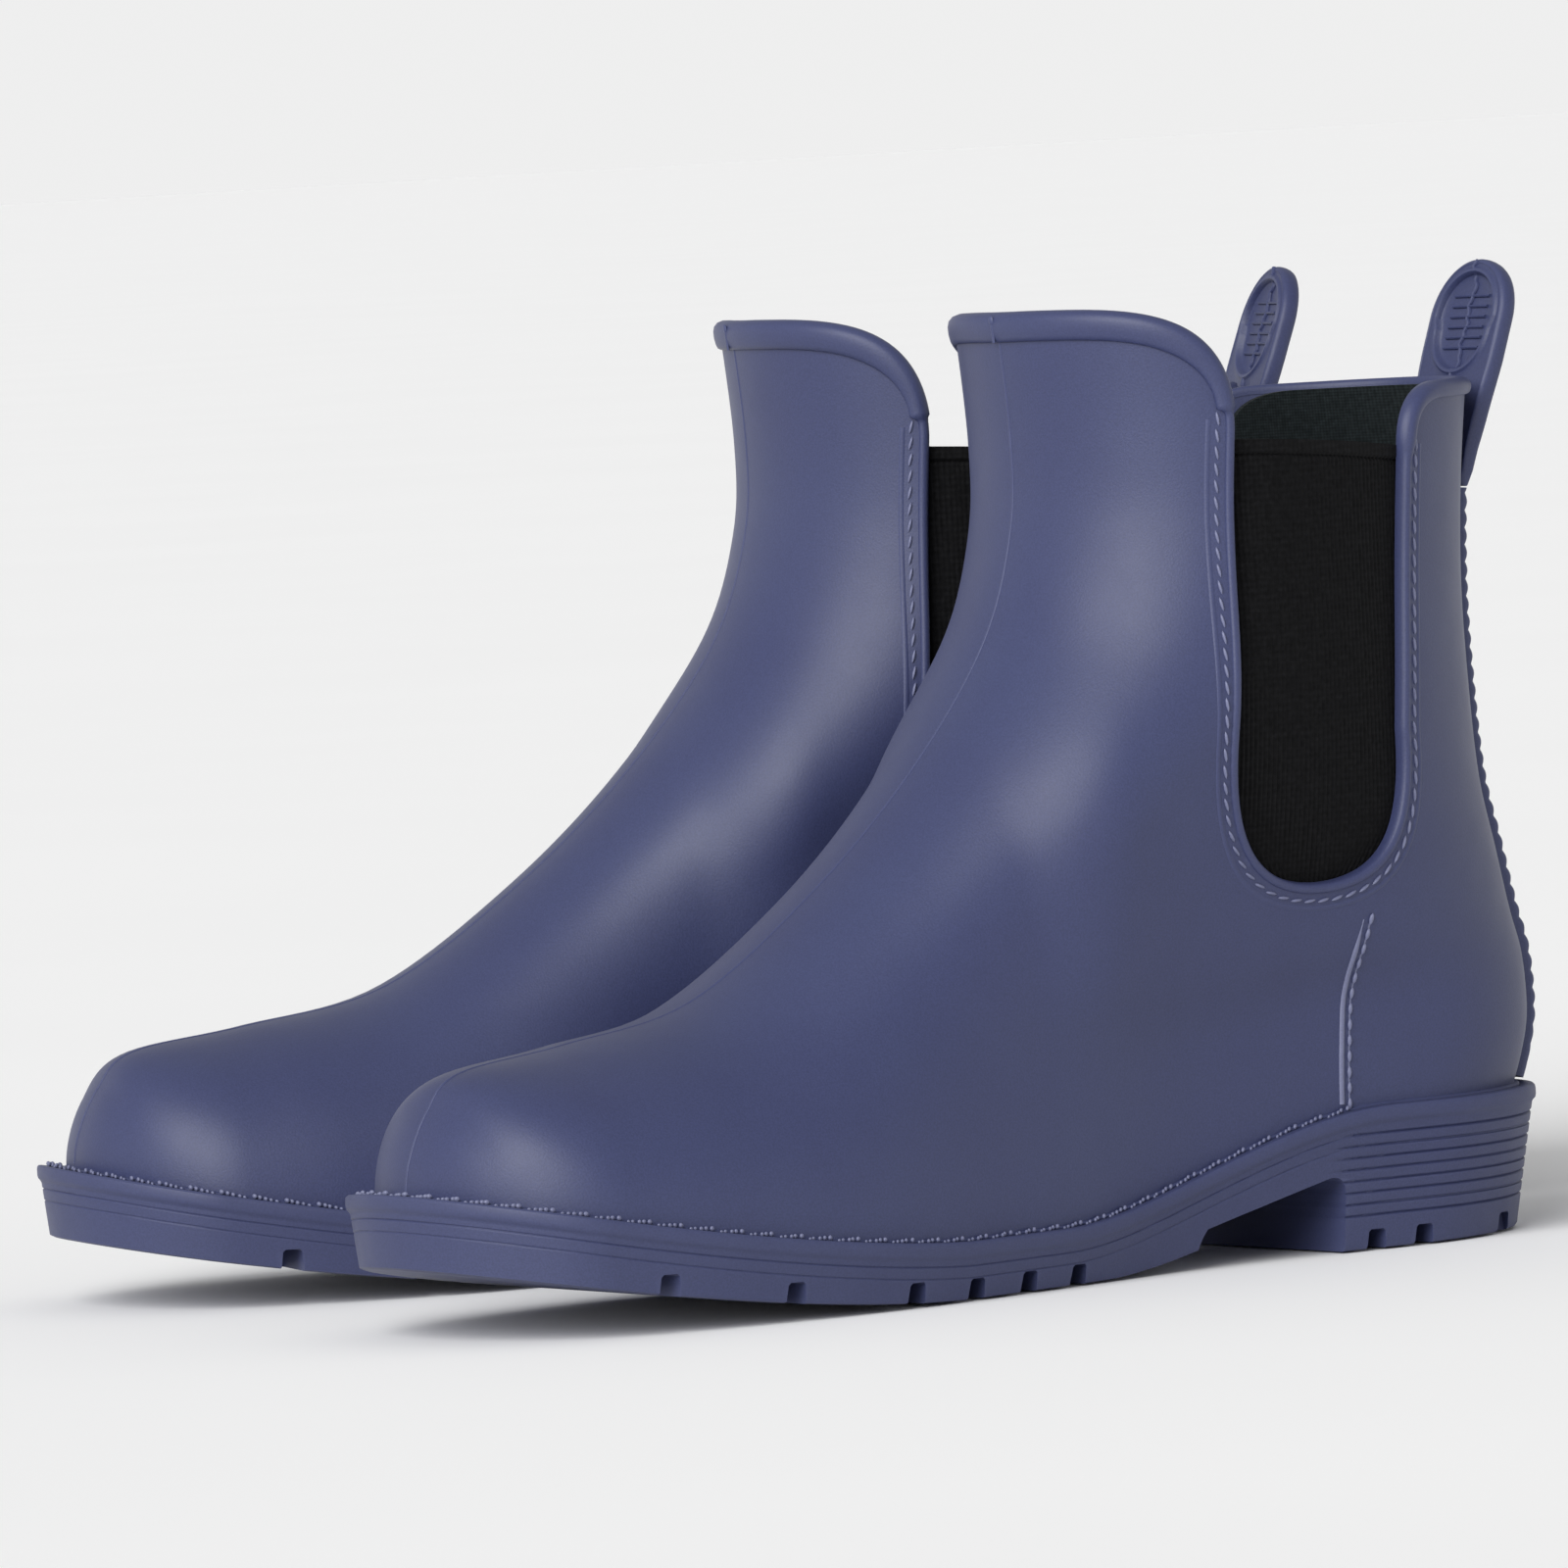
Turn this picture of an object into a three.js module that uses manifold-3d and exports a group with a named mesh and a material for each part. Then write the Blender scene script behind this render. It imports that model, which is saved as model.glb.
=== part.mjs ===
// Pair of moulded deck boots: ankle-high PVC shells with elastic side gores, a lugged sole with a
// low heel, and a strap-like pull tab that bends at the top of each back seam.
//
// Each boot is drawn in its own axes: x is lateral (the outer side of the foot), p runs forward from
// the heel (mesh y is -p, so the toes point along -Y), and z is up from the ground. All sizes are mm.
import * as THREE from 'three';
import { mergeVertices } from 'three/addons/utils/BufferGeometryUtils.js';
import Module from 'manifold-3d';

const wasm = await Module();
wasm.setup();

// ---------------------------------------------------------------- driving dimensions
const PAIR = { spacing: 112.9, splayDeg: 7.65, stagger: 6.9 };

const SOLE = {
  heel: -2, // rearmost point of the lip
  toe: 270, // foremost point of the lip
  heelHeight: 28.6, // ground to the seat of the upper at the heel
  ballThickness: 11.3,
  toeThickness: 14.2,
  toeSpring: 14.8,
  springStart: 160, // the sole is flat on the ground behind this
  slopeStart: 50, // the seat falls from heel to ball between these two
  slopeEnd: 135,
  lip: 3, // height of the proud band at the top of the wall
  lipStep: 1.2,
  taperHeel: 4.9, // how far the wall leans in at the ground
  taperToe: 1.8,
};
const BREAST = 62; // front face of the heel
const ARCH = { front: 98.3, rise: 3.7, step: 4, top: 15.2, corner: 4, taper: 30 };
const LUG = { width: 4.4, height: 4.2, depth: 12, forepart: [230.5, 203.5, 175, 159.3, 145, 131.4] };
const HEEL_LUG = { width: 4.6, height: 4, depth: 9, places: [54.2, 42.6, 18] };

// Half-widths of the sole's lip beside the foot, as [distance from the heel, half-width].
const LATERAL = [
  [0, 34], [38, 34.4], [78, 33.2], [105, 34], [140, 40.5], [180, 46.5], [215, 45.5], [250, 39.5], [280, 34],
];
const MEDIAL = [
  [0, 34], [36, 33.6], [70, 30], [98, 28.5], [135, 34], [185, 45.5], [215, 45], [250, 38], [280, 33],
];
const TOE_RUN = 27; // length over which the plan rounds off at the toe
const HEEL_RUN = 40;

const UPPER = {
  heel: 2,
  toe: 264,
  inset: 3.4, // from the sole's lip to the foot of the upper, at the sides
  wall: 2.4,
  archPower: 2.2, // squareness of the section over the toes
};
const SHAFT = { front: 111.8, flare: 2.6, back: 8.7, halfWidth: 44.5, frontRound: 40, backRound: 75 };
const RIM = { front: 190.8, back: 172, corner: 27, fall: 24, backCorner: 13, allowance: 8 };
const INSTEP = { height: 147 };

const GORE = {
  front: 86.4, frontLow: 90.5, rear: 41.5, rearLow: 46.5, // edges at the top and at the start of the U
  lowStart: 104, bottom: 74.2,
  topFront: 26.4, topRear: 12, // how far the elastic's top lies below the rims
  belly: 1, // swell of the edges into the U
  footShare: 0.3, // how far each quarter of the U stays level at its foot
  lap: 6, // hidden border behind the shell
  thickness: 1.5,
};
const CLEARANCE = 0.3; // between pieces that touch
const LINING = { thickness: 1.2, drop: 2.5 };
const THREAD = { diameter: 1, edge: 2.8, above: 2, sides: 5, steps: 30 };
const WELT = { height: 2.4, outerInset: 0.8 };
const BOARD = { thickness: 2, inset: 0.6 };
const FOOTBED = { thickness: 4 };
const FILLER = { front: 50, rear: 12, halfWidth: 19, floor: 9, corner: 0.8 };
const STAY = { halfWidth: 8, thickness: 2.4, aboveSeat: 4.9, belowRim: 22.5, gap: 0.4, columns: 4 };
const TAB = {
  thickness: 3.6, halfWidth: 12.5, rootHalfWidth: 9, length: 47.5,
  lean: [0.12, 0.36], // backward lean at the root and at the top, as a slope
  leanRun: 0.5, // share of the length over which the lean grows
  widenRun: 0.6, // share of the length over which the strap widens
  tip: 0.06, // share of the width left at the very top
  rootGap: 0.8, // above the back stay
  stations: 18,
};

// ---------------------------------------------------------------- fineness and cutting room
const PLAN_STEPS = 22; // points along each side of a plan outline
const SEAT_STEPS = 22; // lines along the seat's slope
const WALL_COLUMNS = 12; // points round each half of the upper
const WALL_ROWS = 14; // rings up the upper
const FOOT_ROWS = 6; // rings that the foot block takes
const FOOT_TRIM = 4; // length of wall below the seat, trimmed off along it
const REACH = 70; // past either side of a boot
const UNDER = -80; // from the seat to below the ground
const OVER = 40; // from the rim to above the wall

const COLOURS = {
  shell: 0x555a7a, sole: 0x4b5070, lining: 0x26292c, elastic: 0x17181b, thread: 0x7d82a4, foam: 0x3a3d44,
  board: 0x9a8f7a,
};

// ---------------------------------------------------------------- small helpers
const lerp = THREE.MathUtils.lerp;
const smooth = (v, from, to) => THREE.MathUtils.smoothstep(v, from, to);
/** Elliptic rounding: 0 at distance 0, 1 from distance run onwards. */
const endRound = (distance, run) => {
  const k = THREE.MathUtils.clamp(1 - distance / run, 0, 1);
  return Math.sqrt(1 - k * k);
};

/** Catmull-Rom through a list of equal-length rows, at row index u. */
function spline(rows, u) {
  const last = rows.length - 1;
  const i = Math.min(Math.max(Math.floor(u), 0), last - 1);
  const t = u - i;
  const row = (k) => rows[Math.min(Math.max(k, 0), last)];
  return rows[0].map((_, c) => {
    const [a, b, d, e] = [row(i - 1)[c], row(i)[c], row(i + 1)[c], row(i + 2)[c]];
    const slopeB = (d - a) / 2;
    const slopeD = (e - b) / 2;
    const t2 = t * t;
    const t3 = t2 * t;
    const ease = 3 * t2 - 2 * t3;
    return (1 - ease) * b + ease * d + (t3 - 2 * t2 + t) * slopeB + (t3 - t2) * slopeD;
  });
}

/** Smooth value at v through [position, value] pairs. */
function curveAt(pairs, v) {
  const last = pairs.length - 1;
  let i = 0;
  while (i < last - 1 && v > pairs[i + 1][0]) i += 1;
  const t = THREE.MathUtils.clamp((v - pairs[i][0]) / (pairs[i + 1][0] - pairs[i][0]), 0, 1);
  return spline(pairs.map((pair) => [pair[1]]), i + t)[0];
}

/** The argument at which a rising function reaches a target. */
function solve(rising, target, low, high) {
  for (let k = 0; k < 40; k += 1) {
    const middle = (low + high) / 2;
    if (rising(middle) < target) low = middle;
    else high = middle;
  }
  return (low + high) / 2;
}

// ---------------------------------------------------------------- side view of the boot
/** Ground line of the sole, before its arch is cut. */
function groundLine(p) {
  const share = Math.max(0, (p - SOLE.springStart) / (SOLE.toe - SOLE.springStart));
  return SOLE.toeSpring * share ** 1.6;
}

/** Height of the sole's top, where the upper stands. */
function seat(p) {
  const fall = (SOLE.heelHeight - SOLE.ballThickness) * smooth(p, SOLE.slopeStart, SOLE.slopeEnd);
  const share = Math.max(0, (p - SOLE.springStart) / (SOLE.toe - SOLE.springStart));
  return SOLE.heelHeight - fall + groundLine(p) + (SOLE.toeThickness - SOLE.ballThickness) * share;
}

// The upper is a stack of rings, each slung from the back seam to the front line. The shape rows say
// where the ring meets the front line (shares of the vamp's run and rise) and the back seam (bulge
// behind the shaft's back, share of the back's height).
const vampRun = UPPER.toe - SHAFT.front;
const toeSeat = seat(UPPER.toe);
const instepRise = INSTEP.height - toeSeat;
const backRise = RIM.back - SOLE.heelHeight;
const RING_SHAPE = [
  [1, 0, 6, 0],
  [0.991, 0.062, 8.6, 0.045],
  [0.961, 0.138, 10.4, 0.092],
  [0.91, 0.196, 10.6, 0.142],
  [0.75, 0.226, 9.8, 0.195],
  [0.553, 0.275, 7.5, 0.252],
  [0.353, 0.437, 4.6, 0.34],
  [0.19, 0.62, 1.3, 0.44],
  [0.065, 0.818, -0.2, 0.57],
  [0.01, 1, -0.6, 0.715],
];
const RINGS = RING_SHAPE.map(([run, rise, bulge, climb]) => [
  SHAFT.front + vampRun * run, toeSeat + instepRise * rise,
  SHAFT.back - bulge, SOLE.heelHeight + backRise * climb,
]);
RINGS.push([
  SHAFT.front, lerp(INSTEP.height, RIM.front, 0.46),
  SHAFT.back - 0.9, lerp(SOLE.heelHeight, RIM.back, 0.87),
]);
RINGS.push([
  SHAFT.front + SHAFT.flare, RIM.front + RIM.allowance,
  SHAFT.back - 4.5, RIM.back + RIM.allowance,
]);
const TOP_RING = RINGS.length - 1;
const LAST_FOOT_RING = 9; // behind this ring the front line is the shaft's

/** Ring index at which the front line passes over p. */
const ringOver = (p) => solve((u) => -spline(RINGS, u)[0], -p, 0, LAST_FOOT_RING);

function bodyHalfWidth(side, p) {
  return curveAt(side > 0 ? LATERAL : MEDIAL, p) - UPPER.inset;
}

/** A point of the upper's skin: ring index u, angle phi from the back seam (0) to the front line (pi). */
function skin(u, phi, side) {
  const [frontP, frontZ, backP, backZ] = spline(RINGS, u);
  const s = (1 - Math.cos(phi)) / 2;
  const p = lerp(backP, frontP, s);
  const footP = lerp(RINGS[0][2], RINGS[0][0], s);
  const sag = (seat(footP) - lerp(RINGS[0][3], RINGS[0][1], s)) * (1 - smooth(u, 0, 7.5)) ** 1.3;
  const z = lerp(backZ, frontZ, s) + sag;

  const length = frontP - backP;
  const shaftShare = smooth(u, 3, 8.5);
  const width = lerp(bodyHalfWidth(side, p), SHAFT.halfWidth, shaftShare);
  const back = endRound(s * length, lerp(HEEL_RUN - 2, SHAFT.backRound, shaftShare));
  const front = endRound((1 - s) * length, SHAFT.frontRound);
  let vamp = endRound(UPPER.toe - p, TOE_RUN);
  if (u > 0 && p > RINGS[LAST_FOOT_RING][0]) {
    const top = spline(RINGS, ringOver(p))[1];
    const share = THREE.MathUtils.clamp((z - seat(p)) / Math.max(top - seat(p), 1e-6), 0, 1);
    vamp *= Math.sqrt(Math.max(0, 1 - share ** UPPER.archPower));
  }
  const turn = smooth(u, 4.5, 8.5);
  const w = width * back * vamp ** (1 - turn) * front ** turn;
  return new THREE.Vector3(side * w, -p, z);
}

/** Outward normal of the skin, level where flat is true. */
function skinNormal(u, phi, side, flat) {
  const du = 0.02;
  const da = 0.02;
  const around = skin(u, Math.min(phi + da, Math.PI), side).sub(skin(u, Math.max(phi - da, 0), side));
  const up = skin(Math.min(u + du, TOP_RING), phi, side).sub(skin(Math.max(u - du, 0), phi, side));
  if (phi < da || phi > Math.PI - da) around.set(1, 0, 0).multiplyScalar(phi < da ? side : -side);
  const normal = new THREE.Vector3().crossVectors(around, up).multiplyScalar(-side);
  if (phi < da || phi > Math.PI - da) normal.x = 0;
  if (flat) normal.z = 0;
  return normal.normalize();
}

/** The skin moved inward by a depth; its first and last rings stay at their heights. */
function skinAt(u, phi, side, depth) {
  const point = skin(u, phi, side);
  const flat = u < 0.01 || u > TOP_RING - 0.01;
  return point.addScaledVector(skinNormal(u, phi, side, flat), -depth);
}

/** Skin point and normal where the side view is (p, z). */
function skinFromSide(p, z, side) {
  const halfWidth = (pp, zz) => {
    const heightOf = (u) => skin(u, phiAt(u, pp), side).z;
    const u = solve(heightOf, zz, 0, TOP_RING);
    return Math.abs(skin(u, phiAt(u, pp), side).x);
  };
  const step = 0.5;
  const w = halfWidth(p, z);
  const wp = (halfWidth(p + step, z) - halfWidth(p - step, z)) / (2 * step);
  const wz = (halfWidth(p, z + step) - halfWidth(p, z - step)) / (2 * step);
  const normal = new THREE.Vector3(side, wp, -wz).normalize();
  return { point: new THREE.Vector3(side * w, -p, z), normal };
}

function phiAt(u, p) {
  const [frontP, , backP] = spline(RINGS, u);
  const s = THREE.MathUtils.clamp((p - backP) / (frontP - backP), 0, 1);
  return Math.acos(1 - 2 * s);
}

// ---------------------------------------------------------------- mesh building
/** Closed mesh from rings of equal length; the ends are closed across by ladders. */
function stack(rings) {
  const count = rings[0].length;
  const positions = rings.flat().flatMap((v) => [v.x, v.y, v.z]);
  const index = [];
  for (let r = 0; r < rings.length - 1; r += 1) {
    for (let i = 0; i < count; i += 1) {
      const a = r * count + i;
      const b = r * count + ((i + 1) % count);
      index.push(a, b, b + count, a, b + count, a + count);
    }
  }
  const cap = (base, flip) => {
    for (let i = 0; i < count / 2 - 1; i += 1) {
      const [a, b] = [base + i, base + i + 1];
      const [c, d] = [base + (count - i - 1), base + (count - i - 2)];
      const quad = flip ? [a, c, b, b, c, d] : [a, b, c, b, d, c];
      index.push(...quad);
    }
  };
  cap(0, true);
  cap((rings.length - 1) * count, false);
  return facingOut(meshFrom(positions, index));
}

/**
 * Closed tube of rings: the last ring joins back to the first. From ring turned on, the faces are
 * split along their other diagonal, so that a wall's inner side has the same creases as its outer.
 */
function torus(rings, turned) {
  const count = rings[0].length;
  const positions = rings.flat().flatMap((v) => [v.x, v.y, v.z]);
  const index = [];
  for (let r = 0; r < rings.length; r += 1) {
    const next = (r + 1) % rings.length;
    for (let i = 0; i < count; i += 1) {
      const j = (i + 1) % count;
      const [a, b, c, d] = [r * count + i, r * count + j, next * count + j, next * count + i];
      if (r < turned) index.push(a, b, c, a, c, d);
      else index.push(a, b, d, b, c, d);
    }
  }
  return facingOut(meshFrom(positions, index));
}

function meshFrom(positions, index) {
  const geometry = new THREE.BufferGeometry();
  geometry.setAttribute('position', new THREE.Float32BufferAttribute(positions, 3));
  geometry.setIndex(index);
  return geometry;
}

/** Turns the faces of a closed mesh outward. */
function facingOut(geometry) {
  const position = geometry.attributes.position;
  const index = geometry.index.array;
  const [a, b, c] = [new THREE.Vector3(), new THREE.Vector3(), new THREE.Vector3()];
  let volume = 0;
  for (let i = 0; i < index.length; i += 3) {
    a.fromBufferAttribute(position, index[i]);
    b.fromBufferAttribute(position, index[i + 1]);
    c.fromBufferAttribute(position, index[i + 2]);
    volume += a.dot(b.cross(c));
  }
  if (volume < 0) {
    for (let i = 0; i < index.length; i += 3) [index[i], index[i + 1]] = [index[i + 1], index[i]];
  }
  return geometry;
}

function toSolid(geometry) {
  const plain = geometry.clone();
  plain.deleteAttribute('normal');
  plain.deleteAttribute('uv');
  const merged = mergeVertices(plain, 1e-4);
  const mesh = new wasm.Mesh({
    numProp: 3,
    vertProperties: Float32Array.from(merged.attributes.position.array),
    triVerts: Uint32Array.from(merged.index.array),
  });
  return new wasm.Manifold(mesh);
}

function toGeometry(solid) {
  const mesh = solid.getMesh();
  return meshFrom(Array.from(mesh.vertProperties), Array.from(mesh.triVerts));
}

/** Solid made by pushing a side-view outline (p, z) across the boot from xLow to xHigh. */
function acrossBoot(shape, xLow, xHigh, segments = 6) {
  const geometry = new THREE.ExtrudeGeometry(shape, {
    depth: xHigh - xLow, bevelEnabled: false, curveSegments: segments,
  });
  // Shape (p, z) with depth d becomes (x, y, z) = (xLow + d, -p, z).
  const matrix = new THREE.Matrix4().set(0, 0, 1, xLow, -1, 0, 0, 0, 0, 1, 0, 0, 0, 0, 0, 1);
  return toSolid(facingOut(geometryIndexed(geometry.applyMatrix4(matrix))));
}

function geometryIndexed(geometry) {
  geometry.deleteAttribute('normal');
  geometry.deleteAttribute('uv');
  return mergeVertices(geometry, 1e-4);
}

// ---------------------------------------------------------------- plan outlines
/** Ring of plan points: back up the lateral side to the toe, then back along the medial side. */
function planOutline({ heel, toe, inset, insetToe = inset, heelRun = HEEL_RUN, height }) {
  const half = (side, p) => {
    const taper = lerp(inset, insetToe, (p - heel) / (toe - heel));
    const body = curveAt(side > 0 ? LATERAL : MEDIAL, p) - taper;
    return body * endRound(p - heel, heelRun) * endRound(toe - p, TOE_RUN);
  };
  const points = [];
  for (let i = 0; i < 2 * PLAN_STEPS; i += 1) {
    const angle = (Math.PI * (i + 0.5)) / PLAN_STEPS;
    const side = angle < Math.PI ? 1 : -1;
    const p = lerp(heel, toe, (1 - Math.cos(angle)) / 2);
    points.push(new THREE.Vector3(side * half(side, p), -p, height(p)));
  }
  return points;
}

/** Side-view band between two heights above the seat, pushed across the boot. */
function seatBand(low, high) {
  const shape = new THREE.Shape();
  const margin = 10;
  const at = (k) => lerp(SOLE.heel - margin, SOLE.toe + margin, k / SEAT_STEPS);
  shape.moveTo(at(0), seat(at(0)) + high);
  for (let k = 1; k <= SEAT_STEPS; k += 1) shape.lineTo(at(k), seat(at(k)) + high);
  for (let k = SEAT_STEPS; k >= 0; k -= 1) shape.lineTo(at(k), seat(at(k)) + low);
  return acrossBoot(shape, -REACH, REACH);
}

// ---------------------------------------------------------------- pieces
function outsole() {
  const lip = { heel: SOLE.heel, toe: SOLE.toe };
  const lipFoot = (p) => seat(p) - SOLE.lip;
  const rings = [
    planOutline({
      heel: SOLE.heel + SOLE.taperHeel, toe: SOLE.toe - SOLE.taperToe,
      inset: SOLE.taperHeel, insetToe: SOLE.taperToe, height: groundLine,
    }),
    planOutline({
      heel: SOLE.heel + SOLE.lipStep, toe: SOLE.toe - SOLE.lipStep, inset: SOLE.lipStep,
      height: (p) => lipFoot(p) - 0.4,
    }),
    planOutline({ ...lip, inset: 0, height: lipFoot }),
    planOutline({ ...lip, inset: 0, height: (p) => seat(p) + 3 }),
  ];
  let solid = toSolid(stack(rings)).intersect(seatBand(UNDER, 0));
  solid = solid.subtract(acrossBoot(archShape(), -REACH, REACH));
  for (const p of LUG.forepart) solid = cutLugs(solid, p, LUG);
  for (const p of HEEL_LUG.places) solid = cutLugs(solid, p, HEEL_LUG);
  solid = solid.subtract(fillerSolid(0, SOLE.heelHeight + 5));
  return toGeometry(solid);
}

/** Side view of the space under the waist, from the back of the forepart to the heel's breast. */
function archShape() {
  const shape = new THREE.Shape();
  shape.moveTo(ARCH.front + ARCH.taper, -1);
  shape.lineTo(ARCH.front + ARCH.taper, 0);
  shape.quadraticCurveTo(ARCH.front + ARCH.taper / 2, 0, ARCH.front, ARCH.rise);
  shape.lineTo(ARCH.front - 1, ARCH.rise + ARCH.step);
  shape.lineTo(BREAST + ARCH.corner, ARCH.top);
  shape.quadraticCurveTo(BREAST, ARCH.top + 0.5, BREAST, ARCH.top - ARCH.corner);
  shape.lineTo(BREAST, -1);
  return shape;
}

/** Cuts a pair of side notches into the tread at distance p from the heel. */
function cutLugs(solid, p, lug) {
  for (const side of [1, -1]) {
    const edge = curveAt(side > 0 ? LATERAL : MEDIAL, p) - SOLE.taperHeel;
    const reach = lug.depth + 10;
    const box = new THREE.BoxGeometry(reach, lug.width, lug.height + 2);
    const z = groundLine(p) + (lug.height - 2) / 2;
    box.translate(side * (edge - lug.depth + reach / 2), -p, z);
    solid = solid.subtract(toSolid(box));
  }
  return solid;
}

/** Block that fills the hollow of the heel, or the hollow itself when clearance is 0. */
function fillerSolid(clearance, top) {
  const { front, rear, halfWidth, floor } = FILLER;
  const w = halfWidth - clearance;
  const round = w * FILLER.corner;
  const shape = new THREE.Shape();
  shape.moveTo(-w, -(front - clearance));
  shape.lineTo(-w, -(rear + clearance + round));
  shape.quadraticCurveTo(-w, -(rear + clearance), -w + round, -(rear + clearance));
  shape.lineTo(w - round, -(rear + clearance));
  shape.quadraticCurveTo(w, -(rear + clearance), w, -(rear + clearance + round));
  shape.lineTo(w, -(front - clearance));
  const depth = top - floor - clearance;
  const geometry = new THREE.ExtrudeGeometry(shape, { depth, bevelEnabled: false, curveSegments: 4 });
  geometry.translate(0, 0, floor + clearance);
  return toSolid(facingOut(geometryIndexed(geometry)));
}

function heelFiller() {
  return toGeometry(fillerSolid(CLEARANCE, SOLE.heelHeight - CLEARANCE));
}

/** Block that fills the foot of the upper out to a depth below the skin. */
function footBlock(depth) {
  return toSolid(stack(WALL_LEVELS.slice(0, FOOT_ROWS).map((u) => wallRing(u, depth))));
}

/** Slab that lies on the seat inside the lining, from low to high above the seat. */
function insideSlab(low, high) {
  const depth = UPPER.wall + CLEARANCE + LINING.thickness + BOARD.inset;
  return toGeometry(footBlock(depth).intersect(seatBand(low, high)));
}

function welt() {
  const outline = (z) => planOutline({
    heel: SOLE.heel + WELT.outerInset, toe: SOLE.toe - WELT.outerInset, inset: WELT.outerInset,
    height: () => z,
  });
  const prism = toSolid(stack([outline(0), outline(2 * SOLE.heelHeight)]));
  const plate = prism.intersect(seatBand(CLEARANCE, CLEARANCE + WELT.height));
  return toGeometry(plate.subtract(footBlock(-CLEARANCE)));
}

const WALL_LEVELS = Array.from({ length: WALL_ROWS + 1 }, (_, k) => (TOP_RING * k) / WALL_ROWS);

/** Ring of points at one level of the upper, moved inward by a depth. */
function wallRing(u, depth) {
  const points = [];
  for (let i = 0; i < 2 * WALL_COLUMNS; i += 1) {
    const angle = (Math.PI * i) / WALL_COLUMNS;
    const side = angle <= Math.PI ? 1 : -1;
    const point = skinAt(u, side > 0 ? angle : 2 * Math.PI - angle, side, depth);
    point.z += u === 0 ? -FOOT_TRIM : CLEARANCE;
    points.push(point);
  }
  return points;
}

/** Wall that follows the skin between two depths, from the seat to above the rim. */
function wallSolid(depthOut, depthIn) {
  const outer = WALL_LEVELS.map((u) => wallRing(u, depthOut));
  const inner = WALL_LEVELS.map((u) => wallRing(u, depthIn)).reverse();
  return toSolid(torus([...outer, ...inner], outer.length)).subtract(seatBand(UNDER, CLEARANCE));
}

/** Takes a side-view path down a gore's front edge, round its U and to the foot of its rear edge. */
function addGoreEdge(path, grow) {
  const front = GORE.frontLow + grow;
  const rear = GORE.rearLow - grow;
  const bottom = GORE.bottom - grow;
  const middle = (front + rear) / 2;
  const low = (GORE.lowStart + 2 * bottom) / 3;
  const turnFront = lerp(front, middle, GORE.footShare);
  const turnRear = lerp(rear, middle, GORE.footShare);
  path.lineTo(front, GORE.lowStart);
  path.bezierCurveTo(front + GORE.belly, low, turnFront, bottom, middle, bottom);
  path.bezierCurveTo(turnRear, bottom, rear - GORE.belly, low, rear, GORE.lowStart);
}

/**
 * Side view of all that is cut away above the rim and out of the gore windows. grow widens the
 * windows and drop lowers the rim.
 */
function openShape(grow, drop) {
  const front = GORE.front + grow;
  const rear = GORE.rear - grow;
  const rimFront = RIM.front - drop;
  const rimBack = RIM.back - drop;
  const roof = RIM.front + OVER;
  const shape = new THREE.Shape();
  shape.moveTo(SHAFT.front + REACH, roof);
  shape.lineTo(SHAFT.front + REACH, rimFront);
  shape.lineTo(front + RIM.corner, rimFront);
  shape.quadraticCurveTo(front, rimFront, front, rimFront - RIM.fall);
  addGoreEdge(shape, grow);
  shape.lineTo(rear, rimBack - RIM.backCorner);
  shape.quadraticCurveTo(rear, rimBack, rear - RIM.backCorner, rimBack);
  shape.lineTo(SHAFT.back - REACH, rimBack);
  shape.lineTo(SHAFT.back - REACH, roof);
  return shape;
}

/** Place of a gore's straight front or rear edge at height z, grown by grow. */
function goreEdgeAt(z, atFront, grow) {
  const [top, low, bend] = atFront
    ? [GORE.front + grow, GORE.frontLow + grow, RIM.front - RIM.fall]
    : [GORE.rear - grow, GORE.rearLow - grow, RIM.back - RIM.backCorner];
  return lerp(low, top, (z - GORE.lowStart) / (bend - GORE.lowStart));
}

/** Heights of the elastic's top at its front and rear edge. */
const GORE_TOP = { front: RIM.front - GORE.topFront, rear: RIM.back - GORE.topRear };

/** Side view of a gore panel with its hidden border. */
function goreShape() {
  const shape = new THREE.Shape();
  shape.moveTo(goreEdgeAt(GORE_TOP.front, true, GORE.lap), GORE_TOP.front);
  addGoreEdge(shape, GORE.lap);
  shape.lineTo(goreEdgeAt(GORE_TOP.rear, false, GORE.lap), GORE_TOP.rear);
  return shape;
}

const LINING_DEPTH = UPPER.wall + CLEARANCE;

function upperShell() {
  return toGeometry(wallSolid(0, UPPER.wall).subtract(acrossBoot(openShape(0, 0), -REACH, REACH)));
}

function lining() {
  const wall = wallSolid(LINING_DEPTH, LINING_DEPTH + LINING.thickness);
  const open = openShape(GORE.lap + 2 * CLEARANCE, LINING.drop);
  return toGeometry(wall.subtract(acrossBoot(open, -REACH, REACH)));
}

function gorePanels() {
  const wall = wallSolid(LINING_DEPTH, LINING_DEPTH + GORE.thickness);
  const shape = goreShape();
  return {
    lateral: toGeometry(wall.intersect(acrossBoot(shape, 0, REACH))),
    medial: toGeometry(wall.intersect(acrossBoot(shape, -REACH, 0))),
  };
}

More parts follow.
